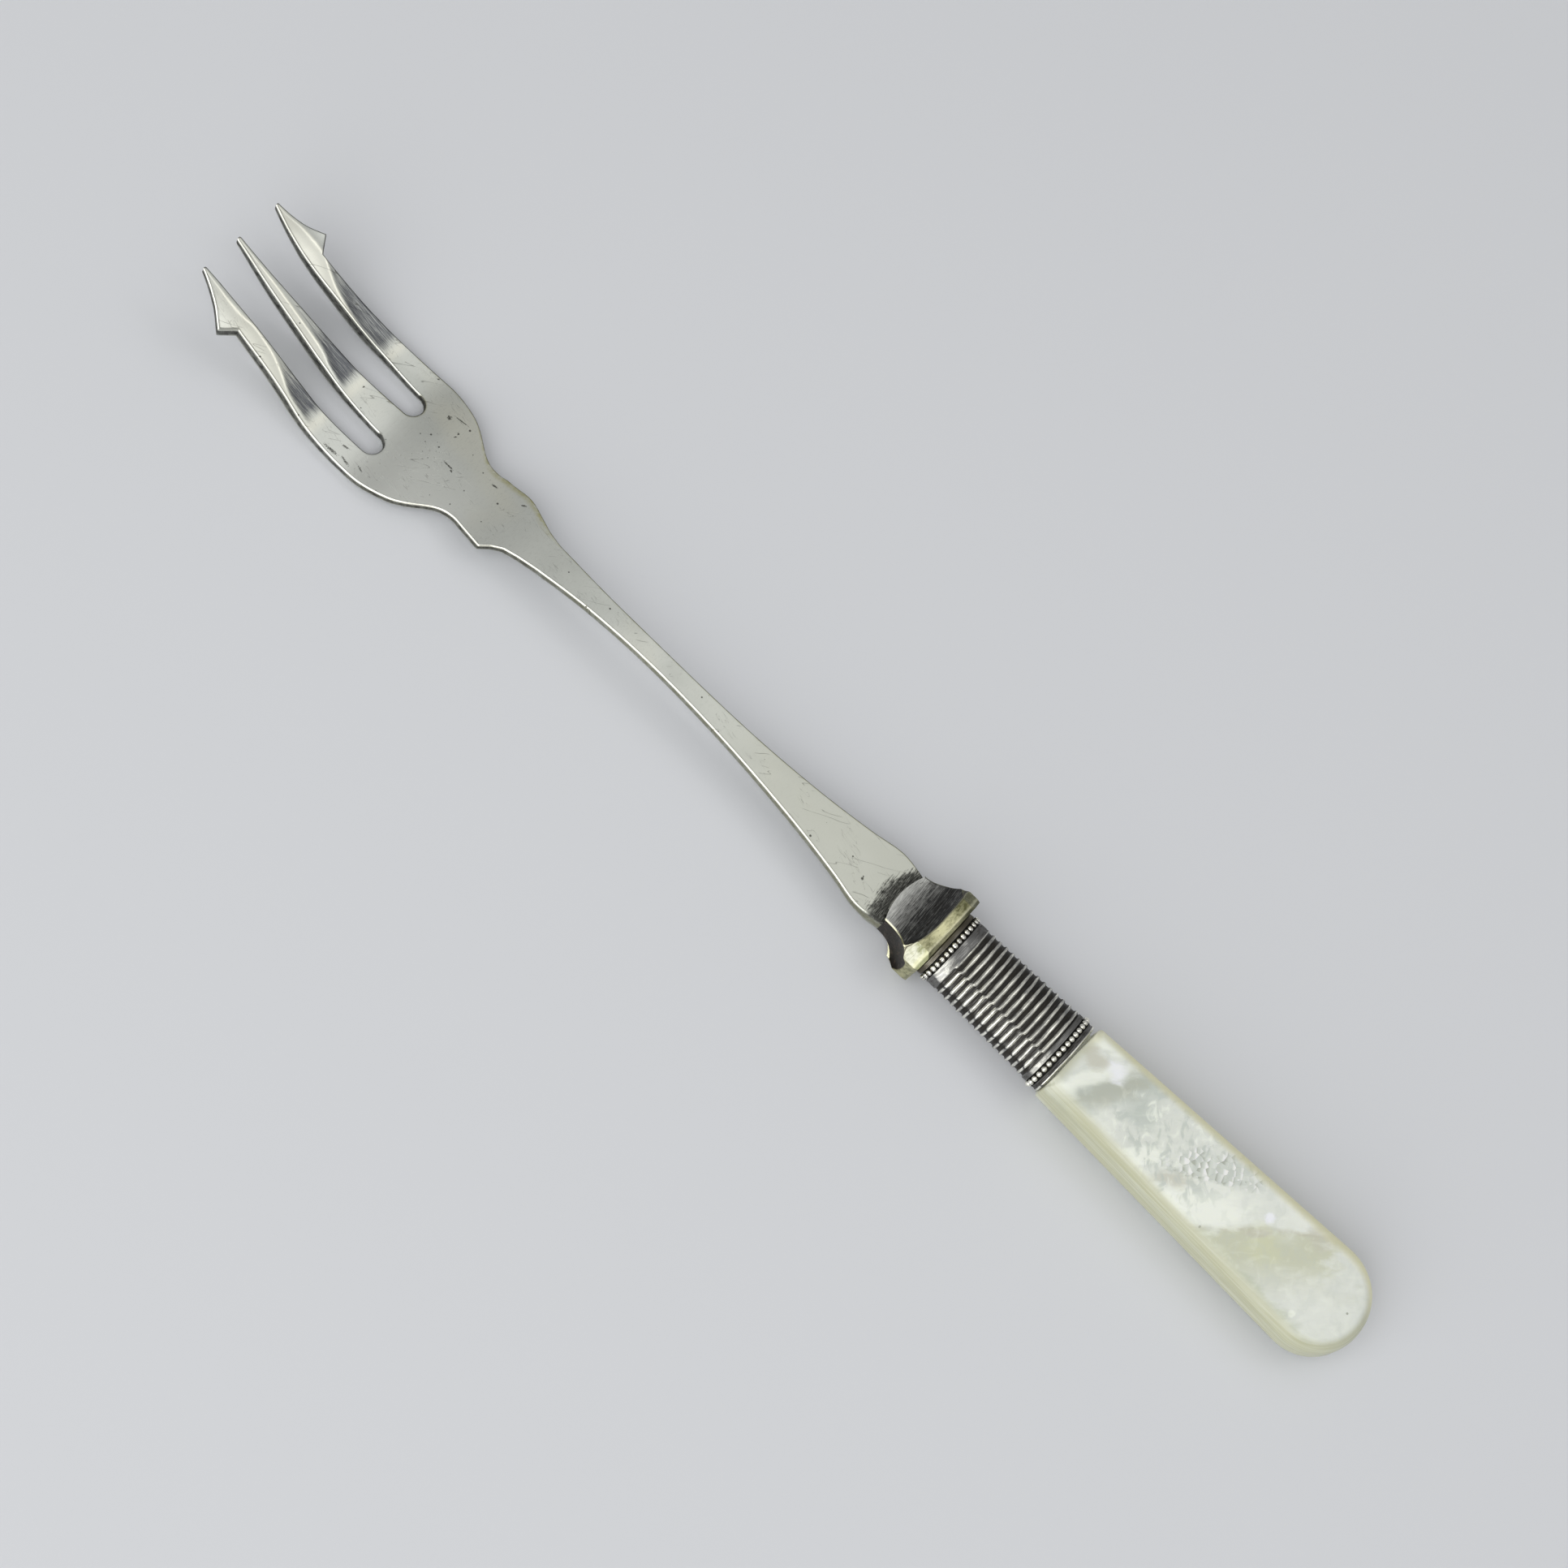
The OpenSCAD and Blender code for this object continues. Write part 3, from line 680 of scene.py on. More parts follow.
@dataclass(frozen=True)
class OxidisedSilver:
    """Thin silver, bright on ribs and beads, black in the grooves, cloudy grey on the plain bands, with painted shade
    on the ferrule's dark side and where beads meet the wall.
    """

    bright: tuple[float, float, float] = (1.0, 0.99, 0.89)
    cloudy: tuple[float, float, float] = (0.26, 0.26, 0.26)
    dusky: tuple[float, float, float] = (0.16, 0.16, 0.155)
    # Black of the grooves' patina, also used for painted shade on the ferrule's dark side and where beads meet the
    # wall.
    oxide: tuple[float, float, float] = (0.012, 0.011, 0.010)
    # Brown dirt in the grooves, and painted shadow of the bolster's rim on the ferrule's front ring.
    earth: tuple[float, float, float] = (0.09, 0.075, 0.045)

    def make(self, name: str, dull: float, low_earth: float) -> bpy.types.Material:
        """Builds the material.

        Args:
            name: the material's name.
            dull: how much of the bright metal is clouded over.
            low_earth: how much brown dirt lies in the grooves.
        """
        paint = Paint(name)
        blotch = paint.noise(paint.local((1.3, 0.7, 1.3)), 4.0, 0.6, 0.5)
        streak = paint.noise(paint.local((1.8, 0.12, 1.0), 0.0, (3.0, 1.0, 0.0)), 4.0, 0.65)
        metal = paint.mix(paint.step(blotch, 0.4, 0.75, 0.0, dull), self.bright, self.cloudy)
        metal = paint.mix(paint.step(streak, 0.52, 0.72, 0.0, dull), metal, self.cloudy)
        # The groove mark holds patina and painted shade alike.
        dirt = paint.mix(paint.step(blotch, 0.3, 0.6, 0.0, low_earth), self.oxide, self.earth)
        rough_edge = paint.step(streak, 0.3, 0.7, -0.22, 0.22)
        depth = paint.sum("ADD", paint.mark("groove"), rough_edge, True)
        metal = paint.mix(paint.step(depth, 0.1, 0.5, 0.0, 0.9), metal, self.cloudy)
        base = paint.mix(paint.step(depth, 0.35, 0.95), metal, dirt)
        base = paint.mix(paint.sum("MULTIPLY", paint.mark("band"), paint.step(
            blotch, 0.6, 0.42, 0.1, 1.0)), base, self.dusky)
        # Painted shadow of the bolster's rim, with dirt, on the ferrule's front ring.
        base = paint.mix(paint.mark("earth"), base, self.earth)
        rough = paint.sum("ADD", paint.step(blotch, 0.3, 0.7, 0.22, 0.34), paint.sum("MULTIPLY", depth, 0.25))
        grain = paint.noise(paint.local((0.3, 0.3, 0.3)), 3.0, 0.7)
        paint.bump((blotch, 0.02), (streak, 0.01), (grain, 0.004))
        return paint.finish(base, rough, paint.step(depth, 0.4, 1.0, 1.0, 0.5))


@dataclass(frozen=True)
class Patch:
    """A soft-edged oval of another colour in the pearl, in millimetres on the handle."""

    x: float
    y: float
    across: float
    along: float
    turn: float
    tint: tuple[float, float, float]
    share: float
    soft: float = 0.6


@dataclass(frozen=True)
class MotherOfPearl:
    """Polished shell: slanting silky bands with one sharp side, flecks and a yellow edge."""

    silky: tuple[float, float, float] = (0.77, 0.80, 0.73)
    dull: tuple[float, float, float] = (0.63, 0.65, 0.49)
    shade: tuple[float, float, float] = (0.58, 0.58, 0.45)
    white: tuple[float, float, float] = (0.96, 1.0, 0.89)
    pale: tuple[float, float, float] = (0.86, 0.89, 0.81)
    green: tuple[float, float, float] = (0.57, 0.62, 0.56)
    olive: tuple[float, float, float] = (0.43, 0.46, 0.38)
    tan: tuple[float, float, float] = (0.59, 0.58, 0.47)
    blue: tuple[float, float, float] = (0.95, 0.97, 1.0)
    rim: tuple[float, float, float] = (0.51, 0.515, 0.35)
    layer: tuple[float, float, float] = (0.70, 0.72, 0.60)
    yellow: tuple[float, float, float] = (0.90, 0.88, 0.58)
    shadow: tuple[float, float, float] = (0.46, 0.47, 0.37)
    pit: tuple[float, float, float] = (0.25, 0.26, 0.18)

    def patches(self) -> tuple[Patch, ...]:
        """The clouds in the shell, from the round end to the ferrule."""
        return (
            Patch(-1.8, 6.3, 3.4, 3.4, 0.0, self.pale, 0.5, 1.2),
            Patch(-4.4, 7.6, 0.5, 0.4, -20.0, self.white, 0.7),
            Patch(-5.2, 8.6, 0.4, 0.5, 10.0, self.white, 0.5),
            Patch(4.8, 10.3, 1.2, 1.6, 0.0, self.tan, 0.65, 1.2),
            Patch(5.2, 5.2, 3.6, 3.2, 0.0, self.silky, 0.95, 0.9),
            Patch(3.2, 17.6, 2.4, 3.8, 0.0, self.silky, 0.6, 1.2),
            Patch(-5.9, 14.0, 1.2, 9.5, 0.0, (0.56, 0.60, 0.48), 0.8, 1.0),
            Patch(-0.9, 15.0, 1.9, 2.1, -40.0, (0.70, 0.72, 0.46), 0.5, 1.3),
            Patch(-0.4, 16.6, 1.5, 0.45, -46.0, self.tan, 0.7, 1.0),
            Patch(-2.4, 22.3, 4.6, 2.1, -50.0, self.white, 0.9, 1.1),
            Patch(2.25, 16.45, 0.65, 0.75, 0.0, self.blue, 1.0, 0.5),
            Patch(-3.9, 25.6, 2.6, 1.4, -48.0, self.white, 0.9, 0.7),
            Patch(-2.5, 27.5, 2.2, 0.95, -46.0, self.tan, 0.65, 1.1),
            Patch(-3.0, 31.8, 3.4, 0.95, -45.0, self.white, 0.85, 0.7),
            Patch(5.3, 33.0, 1.1, 5.5, 0.0, self.pale, 0.7, 1.1),
            Patch(-2.4, 37.3, 2.2, 1.0, -45.0, self.pale, 0.65, 1.1),
            Patch(0.4, 35.0, 2.2, 1.7, -30.0, self.green, 0.8, 1.2),
        )

    def late_patches(self) -> tuple[Patch, ...]:
        """The slanting shadow near the ferrule, the lights beside it and the pits, over the noise."""
        return (
            Patch(-0.9, 39.9, 4.6, 1.35, -33.0, self.shadow, 0.55, 1.6),
            Patch(3.0, 37.9, 1.4, 0.9, -40.0, self.shadow, 0.45, 1.5),
            Patch(1.9, 40.3, 1.0, 1.2, 0.0, self.blue, 0.9, 1.0),
            Patch(-1.0, 42.3, 3.0, 0.8, -31.0, self.white, 0.7, 1.2),
            Patch(-3.8, 43.3, 1.3, 1.1, 0.0, self.white, 0.6, 1.1),
            Patch(3.7, 43.7, 0.9, 2.4, 8.0, self.white, 0.8, 0.9),
            Patch(1.2, 43.5, 1.1, 1.7, 0.0, self.tan, 0.7, 0.9),
            Patch(0.4, 2.8, 0.13, 0.13, 0.0, self.pit, 0.7),
            Patch(-4.6, 21.9, 0.2, 0.16, 0.0, self.pit, 0.6),
            Patch(-5.1, 38.2, 0.14, 0.2, -30.0, self.pit, 0.6),
        )

    def lay(self, paint: Paint, base: Socket, ripple: Socket, patches: tuple[Patch, ...]) -> Socket:
        """Lays soft ovals over a colour: noise is added to each point's distance in the oval."""
        for patch in patches:
            local = paint.local((patch.across, patch.along, 40.0), patch.turn, (patch.x, patch.y, 0.0))
            reach = paint.sum("ADD", paint.length(local), paint.step(ripple, 0.2, 0.8, -0.45, 0.45))
            share = paint.step(reach, 1.0 + patch.soft / 2, 1.0 - patch.soft / 2, 0.0, patch.share)
            base = paint.mix(share, base, patch.tint)
        return base

    def bands(self, paint: Paint, warp: Socket, ripple: Socket) -> Socket:
        """Bands across the slab: their slant changes from one half to the other.

        Each point's place along is sheared by its place across and bent by noise, and a colour
        ramp over that gives bands that are sharp on one side and soft on the other.
        """
        place = paint.split(paint.local((1.0, 1.0, 1.0)))
        bent = paint.sum("ADD", paint.step(warp, 0.2, 0.8, -0.7, 0.7), paint.step(ripple, 0.2, 0.8, -0.35, 0.35))
        along = paint.sum("ADD", place.outputs[1], bent)
        rear = paint.sum("ADD", along, paint.sum("MULTIPLY", place.outputs[0], 1.17))
        front = paint.sum("ADD", along, paint.sum("MULTIPLY", place.outputs[0], 0.62))
        first = paint.ramp(rear, (
            (-6.0, self.silky), (4.5, self.silky), (12.0, self.dull), (16.2, self.dull), (16.8, self.shade),
            (17.6, self.pale), (24.0, self.pale), (31.0, self.silky), (50.0, self.silky),
        ))
        second = paint.ramp(front, (
            (24.0, self.pale), (31.0, self.silky), (36.0, self.silky), (38.6, self.green), (39.8, self.green),
            (41.0, self.pale), (42.5, self.silky), (48.0, self.silky),
        ))
        return paint.mix(paint.step(along, 26.0, 33.0), first, second)

    def flecks(self, paint: Paint, base: Socket, ripple: Socket) -> tuple[Socket, Socket]:
        """Adds small overlapping scales, each lit on one side and shaded on the other.

        Args:
            paint: the material.
            base: the colour under them.
            ripple: noise that breaks up their edge.

        Returns:
            The colour, and the relief of the scales.
        """
        zone = paint.length(paint.local((1.9, 6.0, 40.0), 36.0, (2.1, 24.4, 0.0)))
        zone = paint.step(paint.sum("ADD", zone, paint.step(ripple, 0.2, 0.8, -0.4, 0.4)), 1.3, 0.6)
        place = paint.local((0.75, 0.95, 6.0), 32.0, (2.0, 1.0, 0.0))
        cell = paint.cells(place)
        side = paint.split(paint.between(place, cell.outputs["Position"]))
        pick = paint.split(cell.outputs["Color"])
        lit = paint.sum("MULTIPLY", paint.step(side.outputs[1], 0.0, -0.4), paint.step(pick.outputs[0], 0.25, 0.5))
        dark = paint.sum("MULTIPLY", paint.step(side.outputs[1], 0.0, 0.45), paint.step(pick.outputs[1], 0.3, 0.6))
        base = paint.mix(paint.sum("MULTIPLY", zone, 0.6), base, self.green)
        base = paint.mix(paint.sum("MULTIPLY", dark, paint.sum("MULTIPLY", zone, 0.85)), base, self.olive)
        base = paint.mix(paint.sum("MULTIPLY", lit, paint.sum("MULTIPLY", zone, 0.9)), base, (1.0, 1.0, 0.97))
        return base, paint.sum("MULTIPLY", paint.sum("MULTIPLY", side.outputs[1], zone), pick.outputs[2])

    def make(self) -> bpy.types.Material:
        """Builds the material."""
        paint = Paint("mother_of_pearl")
        warp = paint.noise(paint.local((6.0, 9.0, 30.0), 0.0, (4.0, 0.0, 0.0)), 1.0, 0.5)
        ripple = paint.noise(paint.local((2.6, 1.1, 12.0), -48.0), 3.0, 0.55)
        base = self.lay(paint, self.bands(paint, warp, ripple), ripple, self.patches())
        silk = paint.noise(paint.local((2.8, 1.0, 8.0), -46.0), 2.0, 0.5, 0.5)
        cloud = paint.noise(paint.local((1.9, 1.3, 8.0), 30.0, (3.0, 3.0, 0.0)), 3.0, 0.5, 0.6)
        middle = paint.length(paint.local((7.5, 8.0, 40.0), 0.0, (0.5, 31.0, 0.0)))
        uneven = paint.step(middle, 1.2, 0.7, 0.25, 1.0)
        base = paint.mix(paint.sum("MULTIPLY", uneven, paint.step(cloud, 0.5, 0.36, 0.0, 0.75)), base, self.green)
        base = paint.mix(paint.sum("MULTIPLY", uneven, paint.step(cloud, 0.54, 0.68, 0.0, 0.7)), base, self.white)
        base = paint.mix(paint.step(silk, 0.5, 0.75, 0.0, 0.22), base, self.white)
        base = paint.mix(paint.step(silk, 0.48, 0.25, 0.0, 0.16), base, self.green)
        base, relief = self.flecks(paint, base, ripple)
        base = self.lay(paint, base, ripple, self.late_patches())
        layers = paint.noise(paint.local((14.0, 14.0, 0.3), 0.0, (0.0, 9.0, 0.0)), 3.0, 0.6, 0.2)
        rim = paint.mix(paint.step(layers, 0.42, 0.66, 0.0, 0.5), self.rim, self.layer)
        across = paint.split(paint.local((1.0, 1.0, 1.0))).outputs[0]
        rim = paint.mix(paint.step(across, 1.0, 5.0, 0.0, 0.9), rim, self.yellow)
        base = paint.mix(paint.mark("edge"), base, rim)
        specks = paint.pits(6.0, 0.2, 0.4, 14.0)
        base = paint.mix(paint.sum("MULTIPLY", specks, 0.6), base, self.pit)
        shader = paint.shader
        shader.inputs["Coat Weight"].default_value = 0.25
        shader.inputs["Coat Roughness"].default_value = 0.25
        shader.inputs["Subsurface Weight"].default_value = 0.15
        shader.inputs["Subsurface Radius"].default_value = (0.9, 0.9, 0.6)
        shader.inputs["Subsurface Scale"].default_value = 1.0 * MM
        paint.bump((relief, 0.12), (silk, 0.006))
        return paint.finish(base, paint.step(silk, 0.3, 0.7, 0.3, 0.42), 0.0)


@dataclass(frozen=True)
class PlainFinish:
    """A dull material for the fittings that are sealed inside the handle."""

    name: str
    tint: tuple[float, float, float]
    fleck: tuple[float, float, float]
    rough: float
    metal: float

    def make(self) -> bpy.types.Material:
        """Builds the material."""
        paint = Paint(self.name)
        grain = paint.noise(paint.local((0.6, 0.6, 0.6)), 4.0, 0.65)
        base = paint.mix(paint.step(grain, 0.4, 0.7), self.tint, self.fleck)
        paint.bump((grain, 0.02))
        rough = paint.step(grain, 0.3, 0.7, self.rough - 0.08, self.rough + 0.08)
        return paint.finish(base, rough, self.metal)


def make_piece(
    name: str, skin: Skin, material: bpy.types.Material, node: str, crease_deg: float = 50.0
) -> bpy.types.Object:
    """Makes a piece of the object from a skin, and lets it stand for a solid.

    Args:
        name: the piece's name.
        skin: its surface.
        material: its finish.
        node: the solid that it stands for.
        crease_deg: an edge that bends more than this stays sharp.

    Returns:
        The piece.
    """
    piece = bpy.data.objects.new(name, skin.mesh(name, crease_deg))
    bpy.context.scene.collection.objects.link(piece)
    piece.data.materials.append(material)
    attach(piece, BODY)
    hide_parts(node)
    log.info("%s: %d points, %d faces", name, len(piece.data.vertices), len(piece.data.polygons))
    return piece


@dataclass
class Blade:
    """Tines, palm, neck, shank and tang, forged in one from nickel silver and plated."""

    root_width: float = 8.7
    waist_width: float = 2.5
    shoulder_width: float = 9.2
    neck_width: float = 8.0
    palm_width: float = 16.7
    barb_width: float = 17.8
    thickness: float = 1.4
    slot_in: float = 2.0
    slot_width: float = 2.95
    slot_depth: float = 27.35
    tip_back: float = 26.2
    neck_back: float = 38.7
    shoulder_back: float = 43.1
    waist_back: float = 68.2
    barb_back: float = 5.75
    top_at_bolster: float = 0.5
    top_at_waist: float = 1.95
    top_at_tips: float = 5.85
    left_bevel: float = 0.11
    right_bevel: float = 0.1
    bevel_slope: float = 1.1
    crease_r: float = 0.04
    under_r: float = 0.3
    ring_width: float = 0.46
    tip_thinning: float = 0.15
    tine_crown: float = 0.2
    ridges: tuple[tuple[tuple[float, float], ...], ...] = (
        ((154.0, -8.0), (159.3, -7.35), (161.1, -7.05), (163.1, -6.2), (165.1, -5.6), (167.1, -5.38),
         (168.7, -5.32), (170.1, -5.65), (172.1, -5.85), (174.1, -5.87), (176.7, -5.95)),
        ((154.0, -1.9), (159.7, -1.15), (161.5, -0.62), (163.1, -0.38), (166.1, -0.25), (170.1, -0.1),
         (174.1, -0.2), (176.7, -0.3)),
        ((154.0, 4.8), (161.3, 5.0), (164.1, 5.28), (166.1, 5.68), (167.7, 6.28), (169.3, 6.92),
         (170.9, 7.0), (173.1, 6.75), (175.1, 6.2), (176.7, 5.97)),
    )

    def __post_init__(self) -> None:
        """Works out the places that follow from the sizes."""
        self.tip_y = PLACES.overall_length
        self.rear_y = PLACES.blade_rear
        self.slot_y = self.tip_y - self.slot_depth
        self.barb_y = self.tip_y - self.barb_back
        self.palm_y = self.tip_y - self.tip_back
        self.neck_y = self.tip_y - self.neck_back
        self.shoulder_y = self.tip_y - self.shoulder_back
        self.waist_y = self.tip_y - self.waist_back
        self.slot_out = self.slot_in + self.slot_width
        self.root_r = self.slot_width / 2
        self.split_y = self.slot_y + self.root_r

    def outer_edge(self, side: Side) -> Array:
        """Outline of one long side, as rows of (half width, place along).

        Args:
            side: the left has a sharp shoulder, and the right one is worn round.
        """
        root, waist, palm, neck = (
            self.root_width / 2, self.waist_width / 2, self.palm_width / 2, self.neck_width / 2
        )
        shoulder, barb = self.shoulder_width / 2, self.barb_width / 2
        worn_in = 0.25 if side is Side.LEFT else 0.0
        shank = smooth_curve([
            (root - 0.55, self.rear_y - 0.85), (root, self.rear_y + 2.8), (root - 0.85, self.rear_y + 7.5),
            (waist + 1.2, self.waist_y - 21.5), (waist + 0.35, self.waist_y - 11.5),
            (waist, self.waist_y), (waist + 0.2, self.waist_y + 10.5), (waist + 0.85, self.waist_y + 18.5),
        ])
        if side is Side.LEFT:
            corner = np.array([
                (waist + 1.2, self.waist_y + 21.0), (waist + 1.6, self.shoulder_y - 2.2),
                (shoulder - 1.0, self.shoulder_y - 1.0), (shoulder - 0.1, self.shoulder_y - 0.05),
                (shoulder - 0.02, self.shoulder_y + 0.08), (shoulder - 0.06, self.shoulder_y + 0.25),
            ])
        else:
            corner = smooth_curve([
                (shoulder - 2.03, self.shoulder_y - 4.6), (shoulder - 1.23, self.shoulder_y - 2.6),
                (shoulder - 0.6, self.shoulder_y - 1.0), (shoulder - 0.42, self.shoulder_y + 0.3),
                (shoulder - 0.5, self.shoulder_y + 1.6),
            ])
        palm_side = smooth_curve([
            (neck + 0.05, self.neck_y - 1.2), (neck - 0.1, self.neck_y), (neck + 0.1, self.neck_y + 1.4),
            (neck + 0.75, self.neck_y + 2.7), (palm - 1.9, self.neck_y + 5.0),
            (palm - 0.9, self.neck_y + 6.9), (palm - 0.15, self.neck_y + 9.8), (palm, self.palm_y),
            (palm - 0.25, self.palm_y + 6.0), (palm - 0.95 - worn_in / 2, self.palm_y + 12.5),
            (palm - 1.3, self.barb_y - 2.5),
        ])
        barb_side = np.array([
            (barb - 1.9, self.barb_y - 1.4), (barb - 1.5, self.barb_y - 1.1),
            (barb - 1.05, self.barb_y - 0.78), (barb - 0.16, self.barb_y - 0.14),
            (barb - 0.02, self.barb_y - 0.02), (barb - 0.04, self.barb_y + 0.08),
        ])
        tip_side = smooth_curve([
            (barb - 0.5, self.barb_y + 0.7), (barb - 1.48, self.barb_y + 2.1),
            (barb - 2.3, self.barb_y + 3.9), (barb - 2.82, self.tip_y - 0.3),
        ])
        tip = np.array([
            (barb - 2.84, self.tip_y - 0.16), (barb - 2.9, self.tip_y - 0.05), (barb - 2.98, self.tip_y - 0.01),
            (barb - 3.08, self.tip_y),
        ])
        return np.vstack([shank, corner, palm_side, barb_side, tip_side, tip])

    def slot_side(self, near_tip: list[tuple[float, float]], tip: list[tuple[float, float]]) -> Array:
        """One side of a slot from its root to a tip, as rows of (place across, place along).

        Args:
            near_tip: points from the root towards the tip, with y measured back from the tip.
            tip: the last points, round the blunt tip.
        """
        first = [(near_tip[0][0], self.split_y), (near_tip[0][0], self.slot_y + 1.9)]
        rest = [(x, self.tip_y - back) for x, back in near_tip]
        end = [(x, self.tip_y - back) for x, back in tip]
        return np.vstack([first[:1], smooth_curve([first[1], *rest[1:]]), end])

    def outer_slot_side(self, side: Side) -> Array:
        """Inner edge of an outer tine."""
        s = self.slot_out
        wide = 0.15 if side is Side.RIGHT else 0.0
        tip_x = self.barb_width / 2 - 3.08
        return self.slot_side(
            [(s, 25.0), (s + 0.08 + wide, 20.0), (s + wide / 2, 15.0), (s + 0.02, 8.0), (s + 0.28, 3.2),
             (s + 0.56, 0.5)],
            [(s + 0.6, 0.2), (s + 0.66, 0.06), (s + 0.74, 0.01), (tip_x, 0.0)],
        )

    def inner_slot_side(self) -> Array:
        """Edge of the middle tine."""
        s = self.slot_in
        return self.slot_side(
            [(s, 25.0), (s - 0.28, 20.4), (s - 0.66, 15.0), (s - 0.96, 10.7), (s - 1.26, 6.4),
             (s - 1.6, 2.0), (s - 1.7, 0.3)],
            [(s - 1.74, 0.13), (s - 1.81, 0.04), (s - 1.9, 0.01), (s - 2.0, 0.0)],
        )

    def lean(self, tine: int, y: Array) -> Array:
        """How far a tine is bent across the fork: it grows with the square of the distance.

        Args:
            tine: -1, 0 or 1 for the left, middle and right tine.
            y: places along the fork.
        """
        if tine == 0:
            return -0.25 * np.clip((y - self.split_y) / (self.tip_y - self.split_y), 0, 1) ** 2
        if tine == 1:
            return 0.25 * np.clip((y - self.barb_y) / (self.tip_y - self.barb_y), 0, 1) ** 1.5
        return np.zeros(np.shape(y))

    def top_line(self, y: Array) -> Array:
        """Height of the middle of the top along the fork."""
        heel = self.thickness - PLACES.axis_height
        curve = smooth_curve([
            (self.rear_y - 2.0, self.top_at_bolster), (self.rear_y + 5.0, self.top_at_bolster + 0.1),
            (self.waist_y - 18.0, self.top_at_waist - 0.85), (self.waist_y, self.top_at_waist),
            (self.waist_y + 11.0, self.top_at_waist - 0.3), (self.shoulder_y - 5.0, self.top_at_waist - 1.25),
            (self.neck_y - 1.0, (self.top_at_waist + heel) / 2 - 0.3), (self.neck_y + 7.0, heel + 0.8),
            (self.palm_y + 1.0, heel), (self.palm_y + 6.5, heel + 0.5), (self.palm_y + 10.5, heel + 1.75),
            (self.palm_y + 15.0, heel + 3.5), (self.tip_y - 5.0, self.top_at_tips - 2.35),
            (self.tip_y + 1.0, self.top_at_tips + 0.5),
        ])
        return np.interp(y, curve[:, 0], curve[:, 1])

    def under_line(self, y: Array) -> Array:
        """Height of the middle of the underside along the fork."""
        low, thick, waist = -PLACES.axis_height, self.thickness, self.top_at_waist
        curve = smooth_curve([
            (self.rear_y - 2.0, self.top_at_bolster - 2.4), (self.rear_y + 0.6, self.top_at_bolster - 2.2),
            (self.rear_y + 4.0, self.top_at_bolster - thick), (self.waist_y - 18.0, waist - 0.85 - thick),
            (self.waist_y, waist - thick), (self.waist_y + 11.0, waist - 0.3 - thick),
            (self.shoulder_y - 5.0, waist - 1.25 - thick),
            (self.neck_y - 1.0, (waist + thick + low) / 2 - 0.3 - thick), (self.neck_y + 7.0, low + 0.8),
            (self.palm_y + 1.0, low), (self.palm_y + 6.5, low + 0.15), (self.palm_y + 10.5, low + 0.95),
            (self.palm_y + 15.0, low + 2.65), (self.tip_y - 5.0, self.top_at_tips - 4.35),
            (self.tip_y + 1.0, self.top_at_tips - 0.75),
        ])
        return np.interp(y, curve[:, 0], curve[:, 1])

    def bevel(self, gap: Array, width: float) -> Array:
        """Drop of a filed edge: a slope from the outline to a soft crease, as a hyperbola.

        It is slope (t + sqrt(t^2 + c^2)) / 2, with t the width less the gap and c the crease.
        """
        t = width - gap
        return self.bevel_slope * (t + np.sqrt(t**2 + self.crease_r**2)) / 2

    def faces(
        self, x: Array, y: Array, gaps: tuple[Array, Array], ridge: Array, fade: Array
    ) -> tuple[Array, Array]:
        """Heights of the top and the underside.

        The top falls away on both sides of a ridge, and is filed off along the outline, more on
        the left. The underside rounds off.

        Args:
            x: places across.
            y: places along.
            gaps: distances to the left edges and to the others.
            ridge: place of the ridge across the fork.
            fade: how strong the ridge is, from 0 to 1.

        Returns:
            The heights of the top and of the underside.
        """
        left, right = gaps
        drop = np.maximum(self.bevel(left, self.left_bevel), self.bevel(right, self.right_bevel))
        away = 1.1 * np.tanh(np.sqrt((x - ridge) ** 2 + 0.01) / 1.1) - 0.1
        top = self.top_line(y) - drop - self.tine_crown * fade * away
        thin = self.tip_thinning * ease(y, self.tip_y - 9.0, self.tip_y)
        gap = np.minimum(left, right)
        under = self.under_line(y) + rounding(gap, np.full(np.shape(y), self.under_r)) + thin
        return top, under

    def rings(self) -> Array:
        """Distances from the outline at which the columns near an edge stand."""
        return np.array([0.0, 0.03, 0.065, 0.1, 0.14, 0.18, 0.23, 0.3, self.ring_width])

    def edges_at(self, y: Array) -> tuple[Array, Array]:
        """Outer edges of the whole blade at places along it, left and right."""
        left, right = self.outer_edge(Side.LEFT), self.outer_edge(Side.RIGHT)
        return -np.interp(y, left[:, 1], left[:, 0]), np.interp(y, right[:, 1], right[:, 0])

